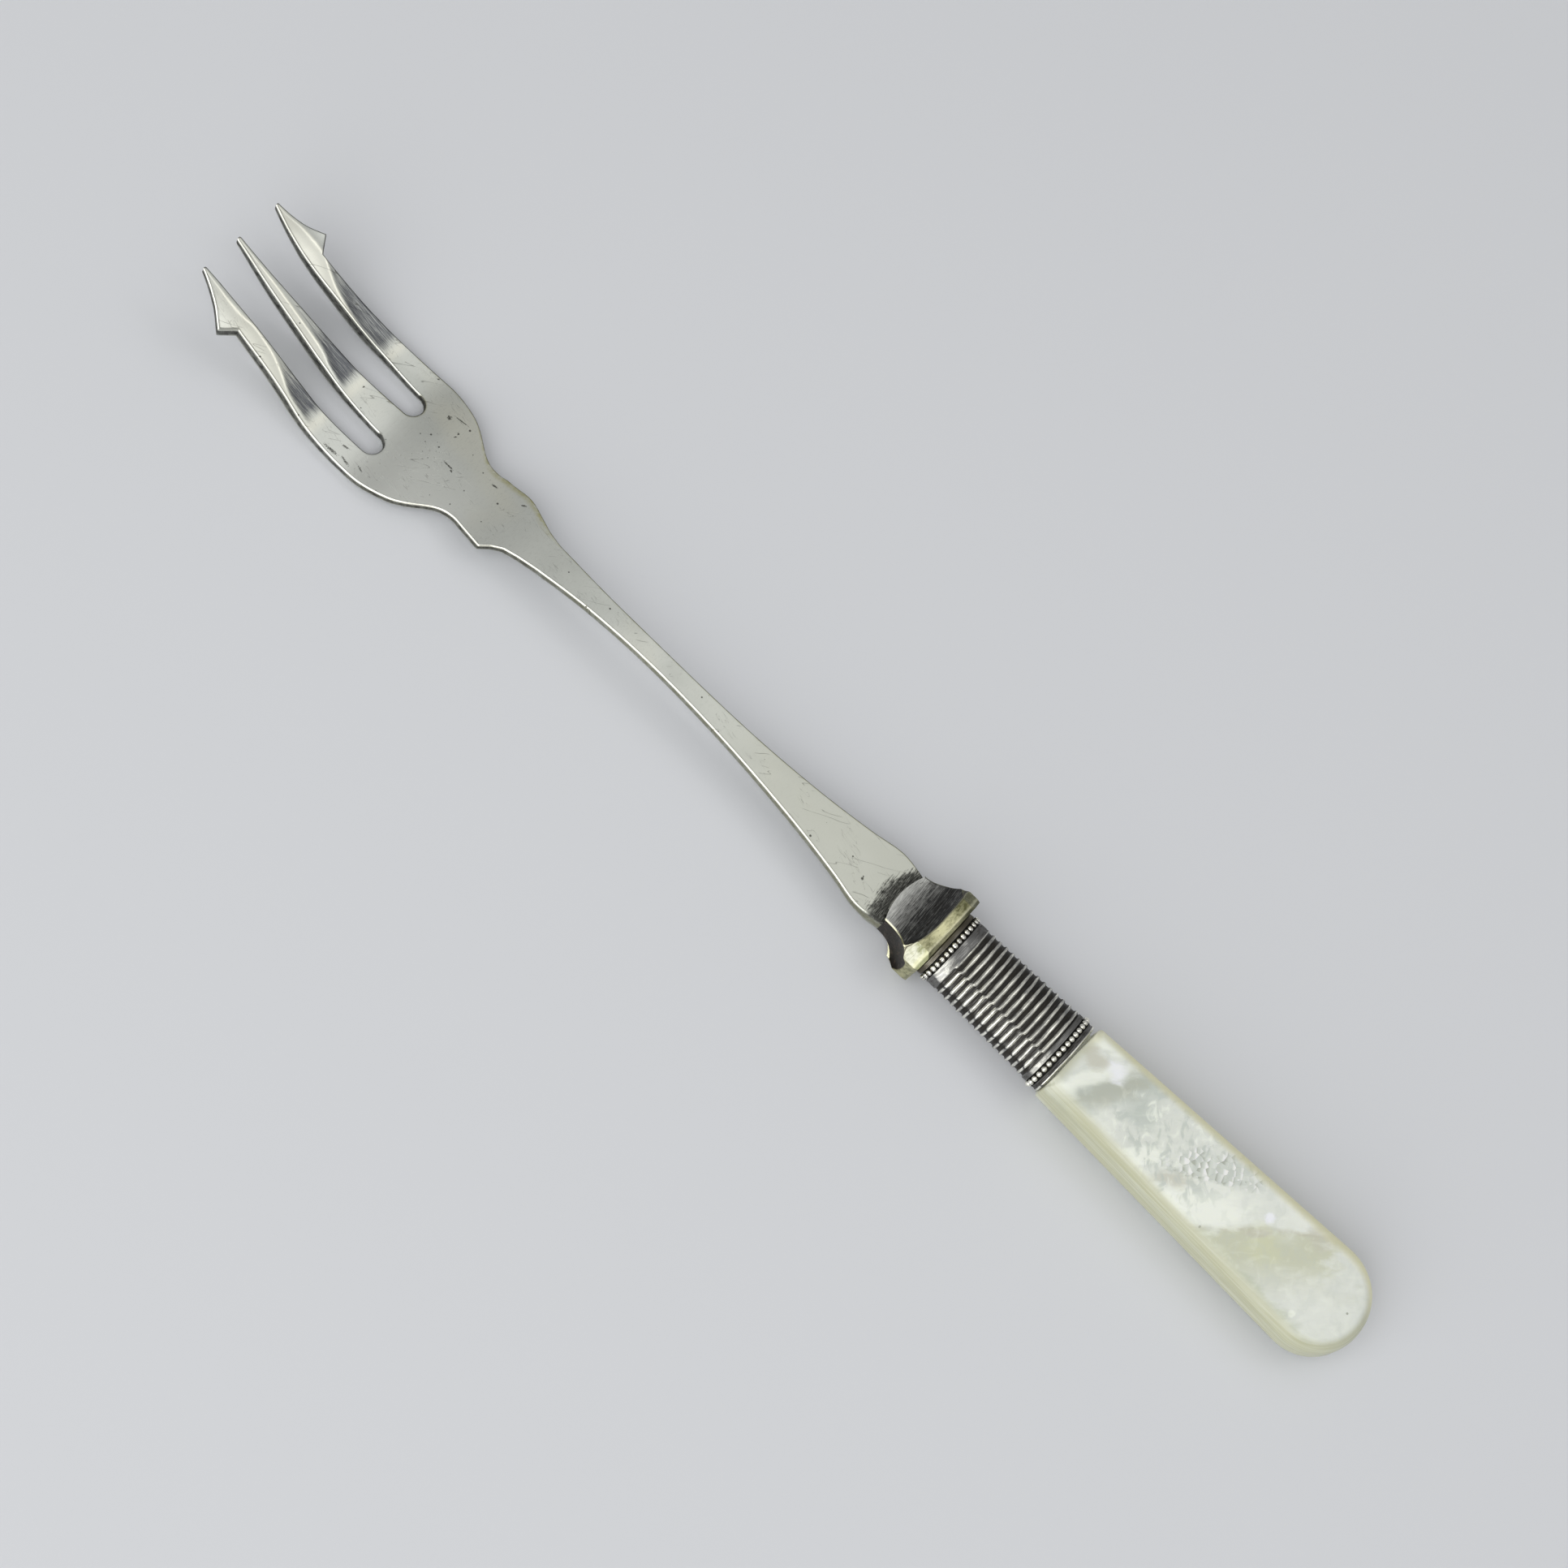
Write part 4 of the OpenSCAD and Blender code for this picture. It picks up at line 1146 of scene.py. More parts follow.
    def palm_grid(self) -> tuple[Array, Array, dict[str, slice]]:
        """Grid of the shank, neck and palm up to where the slots begin.

        A row's place along is pulled to the bowed rear edge at its start. At its end the last
        rows close in on the half circles of the slot roots: y runs from a straight line to
        split_y - r sin(a) where the column meets x = centre - r cos(a) of the circle.

        Returns:
            Places across and along, and the columns that each tine and slot takes.
        """
        left, right = self.edges_at(np.array([self.split_y]))
        turn = np.linspace(0.0, np.pi, 17)[1:-1]
        arc_x, arc_y = -self.root_r * np.cos(turn), -self.root_r * np.sin(turn)
        middle = self.slot_in + self.root_r
        parts = {
            "left_tine": strip(left, np.array([-self.slot_out]), self.rings(), 10)[0],
            "left_slot": arc_x - middle,
            "middle_tine": strip(np.array([-self.slot_in]), np.array([self.slot_in]), self.rings(), 12)[0],
            "right_slot": arc_x + middle,
            "right_tine": strip(np.array([self.slot_out]), right, self.rings(), 10)[0],
        }
        across = np.concatenate(list(parts.values()))
        end = np.full(len(across), self.split_y)
        columns, start = {}, 0
        for name, values in parts.items():
            columns[name] = slice(start, start + len(values))
            if name.endswith("slot"):
                end[columns[name]] += arc_y
            start += len(values)
        plain = np.unique(np.round(np.concatenate([
            np.linspace(self.rear_y, self.rear_y + 4.0, 16),
            np.arange(self.rear_y + 4.0, self.slot_y - 3.0, 0.45),
            np.arange(self.shoulder_y - 2.0, self.shoulder_y + 1.5, 0.12),
            np.arange(self.neck_y - 1.5, self.neck_y + 1.5, 0.2),
        ]), 4))
        last = plain[-1]
        share = np.concatenate([
            np.linspace(0.0, 0.55, 7)[1:], np.linspace(0.6, 0.88, 10), 1 - self.rings()[::-1] / 4.4,
        ])
        share = np.unique(np.round(share, 6))
        y = np.vstack([
            np.repeat(plain[:, None], len(across), 1), last + share[:, None] * (end[None] - last),
        ])
        x = self.spread(across, left[0], right[0], y)
        bow = (PLACES.bowed(np.clip(x, -5, 5)) + PLACES.joint_gap - self.rear_y)
        y = y + bow * (1 - ease(y, self.rear_y, self.rear_y + 6.0))
        return self.spread(across, left[0], right[0], y), y, columns

    def spread(self, across: Array, left: float, right: float, y: Array) -> Array:
        """Places across for columns that keep their distance to the edges or their share of the width.

        Args:
            across: the columns where the slots begin.
            left: left edge there.
            right: right edge there.
            y: places along, as a grid.

        Returns:
            Places across, as a grid.
        """
        low, high = self.edges_at(y)
        ring = self.ring_width
        share = (across - left - ring) / (right - left - 2 * ring)
        inner = low + ring + share * (high - low - 2 * ring)
        near_left = across - left <= ring + 1e-9
        near_right = right - across <= ring + 1e-9
        x = np.where(near_left, low + (across - left), inner)
        return np.where(near_right, high - (right - across), x)

    def tine_rows(self) -> Array:
        """Places along the tines at which the rows stand."""
        return np.unique(np.round(np.concatenate([
            np.arange(self.split_y, self.barb_y - 2.6, 0.3), np.arange(self.barb_y - 2.6, self.barb_y + 1, 0.1),
            np.arange(self.barb_y + 1, self.tip_y - 0.5, 0.22),
            self.tip_y - np.array([0.5, 0.38, 0.28, 0.2, 0.14, 0.09, 0.05, 0.02, 0.006, 0.0]),
            self.barb_y + np.array([-1.45, -0.78, -0.14, -0.02, 0.08]), [self.split_y],
        ]), 5))

    def wall(self, skin: Skin, x: Array, y: Array, top: Array, under: Array, tarnish: object) -> None:
        """Side face from the rounded top edge to the rounded lower edge along one line.

        Args:
            skin: where it is added.
            x: places across, along the line.
            y: places along.
            top: heights of the top edge.
            under: heights of the lower edge.
            tarnish: how dark the face is painted, as painted shade in place of a dark reflection.
        """
        share = np.linspace(0.0, 1.0, 5)[:, None]
        dark = np.array([0.75, 1.0, 0.95, 1.0, 0.95])[:, None] * tarnish
        heights = top[None] + (under - top)[None] * share
        skin.patch(x[None], y[None], heights, tarnish=dark, brass=0.5 * (y[None] < self.palm_y))

    def marks_at(self, x: Array, y: Array, gaps: tuple[Array, Array]) -> dict[str, Array]:
        """Painted shade, brass, painted highlight and rear band on the top, from 0 to 1.

        The left edge gets a painted highlight with a thin line of painted shade inside it, and the
        other edges get painted shade, in place of the bevels' reflections. The left edge just in
        front of the bolster is darkened too. The band fades in front of the bolster. Brass shows on
        the right shoulder and along the right edge, where hands have worn the plate.

        Args:
            x: places across.
            y: places along.
            gaps: distances to the left edges and to the others.

        Returns:
            The marks by name.
        """
        left, right = gaps
        behind = y - PLACES.bowed(np.clip(x, -5, 5)) - PLACES.joint_gap
        # Painted shade: a thin dark line inside the left edge and dark right edges; the left edge just in front of
        # the bolster is darkened as well.
        line = np.exp(-(((left - self.left_bevel - 0.08) / 0.045) ** 2)) * (0.35 + 0.3 * ease(y, 145.0, 160.0))
        outer = 0.85 * (1 - ease(right, 0.06, 0.17)) * (0.55 + 0.45 * ease(y, self.neck_y, self.palm_y))
        root = (1 - ease(left, 0.3, 0.7)) * (1 - ease(behind, 1.7, 2.6))
        worn = ease(y, self.shoulder_y - 7, self.shoulder_y - 3) * (1 - ease(y, self.neck_y - 1, self.neck_y + 6))
        brass = (1 - ease(right, 0.05, 0.3 + 0.7 * worn)) * (x > 0) * (0.5 + 0.5 * worn) * (y < self.palm_y + 4)
        # Painted highlight along the left edge, weaker towards the palm.
        bright = 0.9 * (1 - ease(left, self.left_bevel - 0.03, self.left_bevel + 0.05)) * ease(behind, 3.3, 4.3)
        bright = bright * (1 - 0.6 * ease(y, self.palm_y - 4, self.palm_y + 1))
        return {
            "tarnish": np.maximum(np.maximum(line, outer), 0.85 * root),
            "brass": brass,
            "arris": bright,
            "band": 1 - ease(behind, 0.1, 3.2 - 0.2 * x),
        }

    def build(self) -> Skin:
        """Builds the blade as welded grids: palm, three tines, side faces, slot roots and tang."""
        skin = Skin(("tarnish", "brass", "arris", "band", "facet"))
        px, py, columns = self.palm_grid()
        rows = self.tine_rows()
        left, right = self.edges_at(rows)
        out_left, out_right = self.outer_slot_side(Side.LEFT), self.outer_slot_side(Side.RIGHT)
        inner = self.inner_slot_side()
        in_x = np.interp(rows, inner[:, 1], inner[:, 0])
        tines = {
            "left_tine": (left, -np.interp(rows, out_left[:, 1], out_left[:, 0]), 10, -1),
            "middle_tine": (-in_x, in_x, 12, 0),
            "right_tine": (np.interp(rows, out_right[:, 1], out_right[:, 0]), right, 10, 1),
        }
        grids = {}
        for name, (low, high, count, number) in tines.items():
            low, high = low + self.lean(number, rows), high + self.lean(number, rows)
            grids[name] = (low, high, strip(low, high, self.rings(), count))
        left_lines, other_lines = [np.stack([px[:, 0], py[:, 0]], -1)], [np.stack([px[:, -1], py[:, -1]], -1)]
        for low, high, _ in grids.values():
            left_lines.append(np.stack([low, rows], -1))
            other_lines.append(np.stack([high, rows], -1))
        for name in ("left_slot", "right_slot"):
            run = slice(columns[name].start - 1, columns[name].stop + 1)
            other_lines.append(np.stack([px[-1, run], py[-1, run]], -1))
        gaps = gap_to_lines(px, py, left_lines), gap_to_lines(px, py, other_lines)
        self.palm(skin, px, py, gaps, columns)
        for (name, (low, high, grid)), number in zip(grids.items(), (-1, 0, 1)):
            self.tine(skin, rows, (low, high), grid, (left_lines, other_lines), number)
        self.tang(skin)
        return skin

    def palm(
        self, skin: Skin, x: Array, y: Array, gaps: tuple[Array, Array], columns: dict[str, slice]
    ) -> None:
        """Adds the top, underside and side faces from the bolster to the slots.

        Args:
            skin: where they are added.
            x: places across.
            y: places along.
            gaps: distances to the left edges and to the others.
            columns: the columns of each tine and slot.
        """
        top, under = self.faces(x, y, gaps, x, np.zeros(x.shape))
        skin.patch(x, y, top, **self.marks_at(x, y, gaps))
        # The underside and the side faces are darkened as painted shade.
        skin.patch(x, y, under, tarnish=0.25)
        for column in (0, -1):
            dark = 0.5 + 0.4 * ease(y[:, column], self.waist_y + 6, self.shoulder_y)
            self.wall(skin, x[:, column], y[:, column], top[:, column], under[:, column], dark)
        self.wall(skin, x[0], y[0], top[0], under[0], 1.0)
        for name in ("left_slot", "right_slot"):
            run = slice(columns[name].start - 1, columns[name].stop + 1)
            self.wall(skin, x[-1, run], y[-1, run], top[-1, run], under[-1, run], 1.0)

    def tine(
        self, skin: Skin, rows: Array, run: tuple[Array, Array], x: Array,
        lines: tuple[list[Array], list[Array]], number: int,
    ) -> None:
        """Adds one tine: its top with a slanting ridge, its underside and its two side faces.

        To the right of the ridge the top is painted dark with streaks from a sharp line on, as
        painted shade in place of a dark reflection, and pales towards the tip. Just behind that
        line, along the ridge and to its left it gets painted highlights.

        Args:
            skin: where they are added.
            rows: places along.
            run: left edge and right edge.
            x: places across, as a grid.
            lines: the blade's left edges and its others.
            number: -1, 0 or 1 for the left, middle and right tine.
        """
        curve = smooth_curve(list(self.ridges[number + 1]))
        ridge = np.clip(np.interp(rows, curve[:, 0], curve[:, 1]), *run)[:, None]
        y = np.repeat(rows[:, None], x.shape[1], 1)
        start = self.split_y - 3
        near = ([line[line[:, 1] > start] for line in group if line[:, 1].max() > start] for group in lines)
        gaps = tuple(gap_to_lines(x, y, group) for group in near)
        fade = ease(y, self.split_y + 1.0, self.split_y + 8.0)
        top, under = self.faces(x, y, gaps, ridge, fade)
        marks = self.marks_at(x, y, gaps)
        # Painted shade on the right facet, paling towards the tip; painted highlights before the facet's line, along
        # the ridge and left of it.
        begin = self.split_y + 6.3
        starting = ease(y + 0.05 * (x - run[0][:, None]), begin - 0.1, begin + 1.5)
        late = (0.0, 0.0, 3.0)[number + 1]
        pale = ease(y, begin + 3.5 + late, begin + 14.0 + late / 2) ** 0.8 * 0.86 + (0.04, 0.0, 0.1)[number + 1]
        sooner = (0.45, 0.2, 0.0)[number + 1] * ease(y, begin + 3.5, begin + 8.0)
        reach = ease(x - ridge, 0.04, 0.5)
        glow = np.exp(-(((x - ridge - 0.02) / 0.2) ** 2)) * ease(y, begin + 3.0, begin + 6.0) * (
            0.85 - 0.5 * ease(y, self.barb_y, self.tip_y))
        band = 0.5 * np.exp(-(((y - begin + 0.5) / 0.7) ** 2))
        marks["facet"] = reach * starting * np.clip(1.0 - pale - sooner, 0, 1)
        lit = (0.25, 0.4, 0.5)[number + 1] * (1 - reach) * ease(y, begin + 1.5, begin + 5.0)
        marks["arris"] = np.maximum(np.maximum(marks["arris"], lit), np.maximum(glow, band))
        skin.patch(x, y, top, **marks)
        # The underside and the side faces are darkened as painted shade.
        skin.patch(x, y, under, tarnish=0.3)
        for column in (0, -1):
            self.wall(skin, x[:, column], y[:, column], top[:, column], under[:, column], 0.92)

    def tang(self, skin: Skin) -> None:
        """Adds the bar that runs back through the bolster and the ferrule, closed at both ends."""
        half, end = PLACES.tang_width / 2, self.rear_y - PLACES.tang_length
        low, high = PLACES.tang_top - PLACES.tang_thickness, PLACES.tang_top
        ring_x = np.array([-half, half, half, -half]) * 0.999
        ring_z = np.array([low, low, high, high])
        places = np.array([end, end, end + 0.3, self.rear_y + 1.0, self.rear_y + 1.0])[:, None]
        scale = np.array([0.0, 0.92, 1.0, 1.0, 0.0])[:, None]
        middle = (low + high) / 2
        skin.patch(ring_x * scale, places, middle + (ring_z - middle) * scale, around=True, tarnish=0.3)


@dataclass
class Bolster:
    """Block with an eight-sided rim, hollow top and sides and a bowed front edge."""

    rim_width: float = 11.7
    rim_length: float = 1.6
    chamfer_w: float = 2.0
    chamfer_h: float = 1.7
    bevel: float = 0.4
    front_width: float = 7.3
    front_thickness: float = 3.8
    front_drop: float = 0.4
    hollow: float = 2.7
    corner_r: float = 0.13
    arris_r: float = 0.34
    crease: float = 0.1
    rim_bow: float = 0.9

    def flare(self, rim: float, front: float, share: Array) -> Array:
        """Half size between rim and front: front + (rim - front) (1 - share)^hollow."""
        return front + (rim - front) * (1 - np.clip(share, 0, 1)) ** self.hollow

    def softened(self, rim: float, front: float, share: Array, run: float) -> Array:
        """The same with its crease at the rim worn round, as a mean over a short stretch."""
        shifts = np.linspace(-self.crease, self.crease, 7) / run
        return np.mean([np.minimum(self.flare(rim, front, share + s), rim) for s in shifts], axis=0)

    def section(self, a: Array, top: Array, under: Array, r: Array) -> tuple[Array, Array, Array]:
        """Outline of one section: a box with its corners cut off and worn round.

        Each of the eight corners is an arc of radius r, between the normals of its two sides.

        Args:
            a: half width, one value a station.
            top: height of the top.
            under: depth of the underside.
            r: radius of the corners.

        Returns:
            Places across and up, one row a station, and the angle of each column's normal.
        """
        rim_a, rim_h = self.rim_width / 2, PLACES.axis_height
        slope = self.chamfer_h / self.chamfer_w
        lean = math.atan2(self.chamfer_w, self.chamfer_h)
        reach = (a - r)[:, None]
        spread = r[:, None] * math.hypot(slope, 1.0)
        steps = np.linspace(0.0, 1.0, 6)

        def quarter(height: Array) -> tuple[list[Array], list[Array], list[Array]]:
            """Corner arcs of one quarter, from the side towards the top or underside."""
            h = (height - r)[:, None]
            side_h = np.minimum(h, (rim_h - self.chamfer_h) + slope * (rim_a - reach) - spread)
            end_x = np.minimum(reach, rim_a - (h + spread - (rim_h - self.chamfer_h)) / slope)
            side_h = np.maximum(side_h, 0.1)
            first, second = lean * steps, lean + (np.pi / 2 - lean) * steps
            xs = [reach + r[:, None] * np.cos(first), end_x + r[:, None] * np.cos(second)]
            zs = [side_h + r[:, None] * np.sin(first), h + r[:, None] * np.sin(second)]
            return xs, zs, [first, second]

        up_x, up_z, up_n = quarter(top)
        low_x, low_z, low_n = quarter(under)
        xs = [*up_x, *[-v[:, ::-1] for v in up_x[::-1]], *[-v for v in low_x],
              *[v[:, ::-1] for v in low_x[::-1]]]
        zs = [*up_z, *[v[:, ::-1] for v in up_z[::-1]], *[-v for v in low_z],
              *[-v[:, ::-1] for v in low_z[::-1]]]
        ns = [*up_n, *[np.pi - v[::-1] for v in up_n[::-1]], *[np.pi + v for v in low_n],
              *[2 * np.pi - v[::-1] for v in low_n[::-1]]]
        return self.filled(xs), self.filled(zs), np.concatenate(self.filled([n[None] for n in ns]))

    @staticmethod
    def filled(arcs: list[Array], between: int = 7) -> Array:
        """Joins arcs end to end with straight stretches of evenly spaced points."""
        parts = []
        for arc, following in zip(arcs, [*arcs[1:], arcs[0]]):
            share = np.linspace(0.0, 1.0, between + 2)[1:-1]
            parts += [arc, arc[:, -1:] + (following[:, :1] - arc[:, -1:]) * share]
        return np.hstack(parts)

    def build(self) -> Skin:
        """Builds the block as a tube of sections round the slot for the tang."""
        skin = Skin(("rim", "side", "arris", "front", "chamfer"))
        rear = PLACES.bolster_rear
        rim_y = rear + self.rim_length
        front_a = self.front_width / 2
        run = float(PLACES.bowed(np.array(front_a))) - rim_y
        bevel = np.linspace(0.0, 1.0, 4)[:-1]
        along = np.concatenate([rear + bevel * self.bevel, np.linspace(rear + self.bevel, rim_y - 0.2, 8)[:-1]])
        share = np.concatenate([
            (along - rim_y) / run, np.linspace(-0.2 / run, 0.3 / run, 9)[:-1],
            np.linspace(0.3 / run, 1.0, 34),
        ])
        inset = np.zeros(len(share))
        inset[:4] = self.bevel * (1 - np.linspace(0, 1, 4))
        half_front = self.front_thickness / 2
        a = self.softened(self.rim_width / 2, front_a, share, run) - inset / 2
        top = self.softened(PLACES.axis_height, half_front - self.front_drop, share, run) - inset
        under = self.softened(PLACES.axis_height, half_front + self.front_drop, share, run) - inset
        radius = self.corner_r + (self.arris_r - self.corner_r) * ease(share, 0.1, 0.5)
        x, z, normal = self.section(a, top, under, radius)
        fuller = (ease(share, 0.08, 0.5) * (1 - 0.75 * ease(share, 0.5, 1.0)))[:, None]
        x = x * (1 + 0.12 * fuller * ease(x, 0.0, 3.0))
        at_rim = np.argmin(np.abs(share))
        middle = self.rim_width / 2 - self.chamfer_w / 2
        broad = np.clip(np.abs(x[at_rim]) / middle, 0, 1) ** 2
        upright = ease(np.abs(z[at_rim]), 1.3, PLACES.axis_height - self.chamfer_h / 2)
        level = 0.35 * ease(np.abs(z[at_rim]), 0.0, 3.0) - 0.3
        rim_shift = np.where(x[at_rim] < 0, 1.0, 0.2) * self.rim_bow * broad * upright + level
        pull = ease(share, -self.rim_length / run, 0.0) * (1 - ease(share, 0.0, 0.75))
        bow = PLACES.bowed(np.clip(x, -front_a, front_a)) - PLACES.bowed(np.array(front_a))
        sag = ease(share, 0.0, 1.0)[:, None] ** 0.8
        y = rim_y + share[:, None] * run + bow * sag + rim_shift[None] * pull[:, None]
        marks = self.marks_at(x, share[:, None] * run, normal[None], inset[:, None])
        skin.patch(x, y, z, around=True, **marks)
        self.close(skin, x[0], y[0], z[0], "rim")
        self.close(skin, x[-1], y[-1], z[-1], "front")
        hole_x, hole_z = self.hole(x[0], z[0])
        front_x, front_z = self.hole(x[-1], z[-1])
        skin.patch(np.stack([hole_x, front_x]), np.stack([y[0], y[-1]]), np.stack([hole_z, front_z]),
                   around=True, side=1.0)
        return skin

    def hole(self, x: Array, z: Array) -> tuple[Array, Array]:
        """Outline of the slot for the tang, met by rays from its middle to an outer outline."""
        half_w, half_t = PLACES.tang_width / 2 + 0.05, PLACES.tang_thickness / 2 + 0.05
        middle = PLACES.tang_top - PLACES.tang_thickness / 2
        reach = np.minimum(half_w / np.maximum(np.abs(x), 1e-9), half_t / np.maximum(np.abs(z - middle), 1e-9))
        return x * reach, middle + (z - middle) * reach

    def close(self, skin: Skin, x: Array, y: Array, z: Array, name: str) -> None:
        """Fills one end face between the outline and the slot."""
        hole_x, hole_z = self.hole(x, z)
        mark = {name: 0.6}
        skin.patch(np.stack([x, hole_x]), np.stack([y, y]), np.stack([z, hole_z]), around=True, **mark)

    def marks_at(self, x: Array, ahead: Array, normal: Array, inset: Array) -> dict[str, Array]:
        """Where the rim, the side faces painted dark as painted shade, the painted highlights on the
        edges, the front painted paler as painted light, and the left chamfer lie.

        Args:
            x: places across.
            ahead: distance in front of the rim.
            normal: angle of the face round the section.
            inset: depth of the bevel at the rear.

        Returns:
            The four marks by name.
        """
        rim = 1 - ease(ahead, -0.05, 0.12) + 0 * x
        up = np.sin(normal)
        sideways = ease(np.abs(np.cos(normal)), 0.35, 0.75) * (ahead > -0.05)
        edge = (1 - ease(np.abs(np.abs(up) - 0.62), 0.1, 0.33)) * ease(ahead, 0.1, 0.6)
        corner = edge * (x < 0)
        rim = np.maximum(rim, 0.75 * edge * (x > 0))
        crease = np.exp(-(((ahead - 0.02) / 0.07) ** 2)) * ease(up, 0.5, 0.9) * 0.5
        rear_line = np.exp(-(((ahead + self.rim_length - self.bevel - 0.06) / 0.09) ** 2)) * ease(up, 0.2, 0.8)
        front = (0.3 * ease(ahead, 1.0, 3.2) + 0.55 * ease(ahead, 3.2, 5.0)) * np.ones_like(x)
        return {
            "rim": np.where(inset > 0.05, 0.8, 1.0) * rim,
            "side": sideways * np.ones_like(x),
            "arris": np.clip(corner + 0.7 * crease + 0.7 * rear_line, 0, 1) * np.ones_like(x),
            "front": front,
            "chamfer": (1 - ease(np.abs(np.abs(up) - 0.76), 0.08, 0.2)) * (x < 0),
        }


@dataclass(frozen=True)
class Oval:
    """Sections of the ferrule, one a station: two narrow end arcs joined by two broad arcs."""

    a: Array
    b: Array
    r: Array

    @property
    def broad(self) -> Array:
        """Radius of the broad arcs: ((a - r)^2 + b^2 - r^2) / (2 (b - r))."""
        return ((self.a - self.r) ** 2 + self.b**2 - self.r**2) / (2 * (self.b - self.r))

    def grown(self, by: float) -> "Oval":
        """The sections that lie outside these by some distance."""
        return Oval(self.a + by, self.b + by, self.r + by)

    def points(self, share: Array) -> tuple[Array, Array]:
        """Points round the oval by its own length.

        Args:
            share: places round it from 0 to 1, starting at +X and turning towards +Z.

        Returns:
            Places across and up, one row a station.
        """
        a, b, r, broad = (np.atleast_1d(v)[:, None] for v in (self.a, self.b, self.r, self.broad))
        turn = np.arctan2(broad - b, a - r)
        first = r * turn
        quarter = first + broad * (np.pi / 2 - turn)
        part = np.floor(share * 4).astype(int) % 4
        along = share * 4 - np.floor(share * 4)
        along = np.where(part % 2 == 0, along, 1 - along) * quarter
        angle = np.where(along < first, along / r, turn + (along - first) / broad)
        x = np.where(along < first, a - r + r * np.cos(angle), broad * np.cos(angle))
        z = np.where(along < first, r * np.sin(angle), b - broad + broad * np.sin(angle))
        return np.where((part == 1) | (part == 2), -x, x), np.where(part >= 2, -z, z)


@dataclass
class Ferrule:
    """Thin silver tube with a lip, two bead seats, fourteen ribs and plain bands."""

    width: float = 10.3
    thickness: float = 6.1
    taper: float = 0.96
    end_r: float = 2.3
    rib_count: int = 14
    rib_pitch: float = 1.0
    rib_start: float = 2.32
    rib_height: float = 0.22
    lip_length: float = 0.8
    bead_band: float = 0.88
    bead_d: float = 0.74
    bead_proud: float = 0.36
    front_ring: float = 0.72
    seam_shift: float = 0.26
    bore: tuple[float, float, float] = (4.2, 2.35, 1.8)

    def half_sizes(self, d: Array) -> tuple[Array, Array]:
        """Half width and half thickness of the plain wall at distances from the rear end."""
        share = np.asarray(d) / PLACES.ferrule_length
        return (self.width - self.taper * share) / 2, (self.thickness - self.taper / 3 * share) / 2

    def growth(self, d: Array, share: Array) -> tuple[Array, dict[str, Array]]:
        """Height over the plain wall, and the marks of grooves, plain bands, and dirt with painted shadow.

        A rib is a raised cosine, sharpened, with its phase and height wavering round the oval. On
        the left the ribs lie a little further forward, past a joint of the dies, and are painted
        lighter as a painted highlight. A dark solder line follows. The right side, and everything
        past the solder line, is painted darker as painted shade.

        Args:
            d: distances from the rear end, as a column.
            share: places round the oval, as a row.

        Returns:
            The height, in millimetres, and the marks, as grids.
        """
        ribs_end = self.rib_start + self.rib_count * self.rib_pitch
        front_seat = PLACES.ferrule_length - self.front_ring - self.bead_band
        rib = np.floor((d - self.rib_start) / self.rib_pitch)
        sway = 0.018 * np.sin(2 * np.pi * share * 2 + rib * 1.7) + 0.012 * np.sin(2 * np.pi * share * 9 + rib * 3.1)
        beyond = ease(share, 0.342, 0.354) * (1 - ease(share, 0.62, 0.64))
        phase = ((d - self.rib_start - 0.2) / 0.972 + sway - self.seam_shift * beyond) / self.rib_pitch
        wave = 0.5 + 0.5 * np.cos(2 * np.pi * (phase - 0.22))
        crest = ease(wave, 0.25, 1.0)
        lower = 0.02 * np.sin(2 * np.pi * share * 5 + rib * 2.3)
        ribbed = 0.02 - self.rib_height * (1 - crest) + lower * crest
        in_ribs = ease(d, self.rib_start - 0.08, self.rib_start + 0.06) * (1 - ease(d, ribs_end - 0.05, ribs_end + 0.08))
        dents = 0.03 * np.sin(2 * np.pi * share * 9 + 2) * np.sin(d * 4.0)
        plain = np.where(d > ribs_end, -0.04 + dents, 0.4 * dents)
        seat = self.bead_proud - self.bead_d
        rear_seat = ease(d, self.lip_length - 0.06, self.lip_length + 0.08) * (
            1 - ease(d, self.lip_length + self.bead_band - 0.08, self.lip_length + self.bead_band + 0.06))
        fore_seat = ease(d, front_seat - 0.06, front_seat + 0.08) * (
            1 - ease(d, front_seat + self.bead_band - 0.08, front_seat + self.bead_band + 0.06))
        seats = rear_seat + fore_seat
        lip = -0.12 * (1 - ease(d, 0.0, 0.14)) - 0.10 * ease(d, 0.2, 0.45) * (1 - ease(d, 0.6, 0.8))
        front_lip = -0.15 * ease(d, PLACES.ferrule_length - 0.15, PLACES.ferrule_length)
        height = (plain * (1 - in_ribs) + ribbed * in_ribs) * (1 - seats) + seat * seats + lip + front_lip
        # Painted highlight on the shining zone on the left, and painted shade on the right side and past the solder
        # line; both act through the groove and dirt marks.
        shining = ease(share, 0.31, 0.36) * (1 - ease(share, 0.445, 0.458))
        dark = np.maximum(1 - ease(share, 0.1, 0.24), 0.8 * ease(share, 0.445, 0.458))
        low = 0.3 + 0.27 * dark
        between = (1 - ease(wave, low, low + 0.45)) * (1 - 0.1 * shining)
        seam = np.exp(-(((share - 0.4545 - 0.003 * np.sin(3.1 * d) - 0.002 * np.sin(7.3 * d)) / 0.006) ** 2))
        groove = np.clip(between * in_ribs + seats, 0, 1)
        dirty = (0.5 + 0.3 * dark) * (1 - 0.9 * shining) * (1 - in_ribs) * ease(d, 0.8, 1.0)
        groove = np.maximum(groove, np.maximum(0.8 * seam, dirty) * (1 - seats))
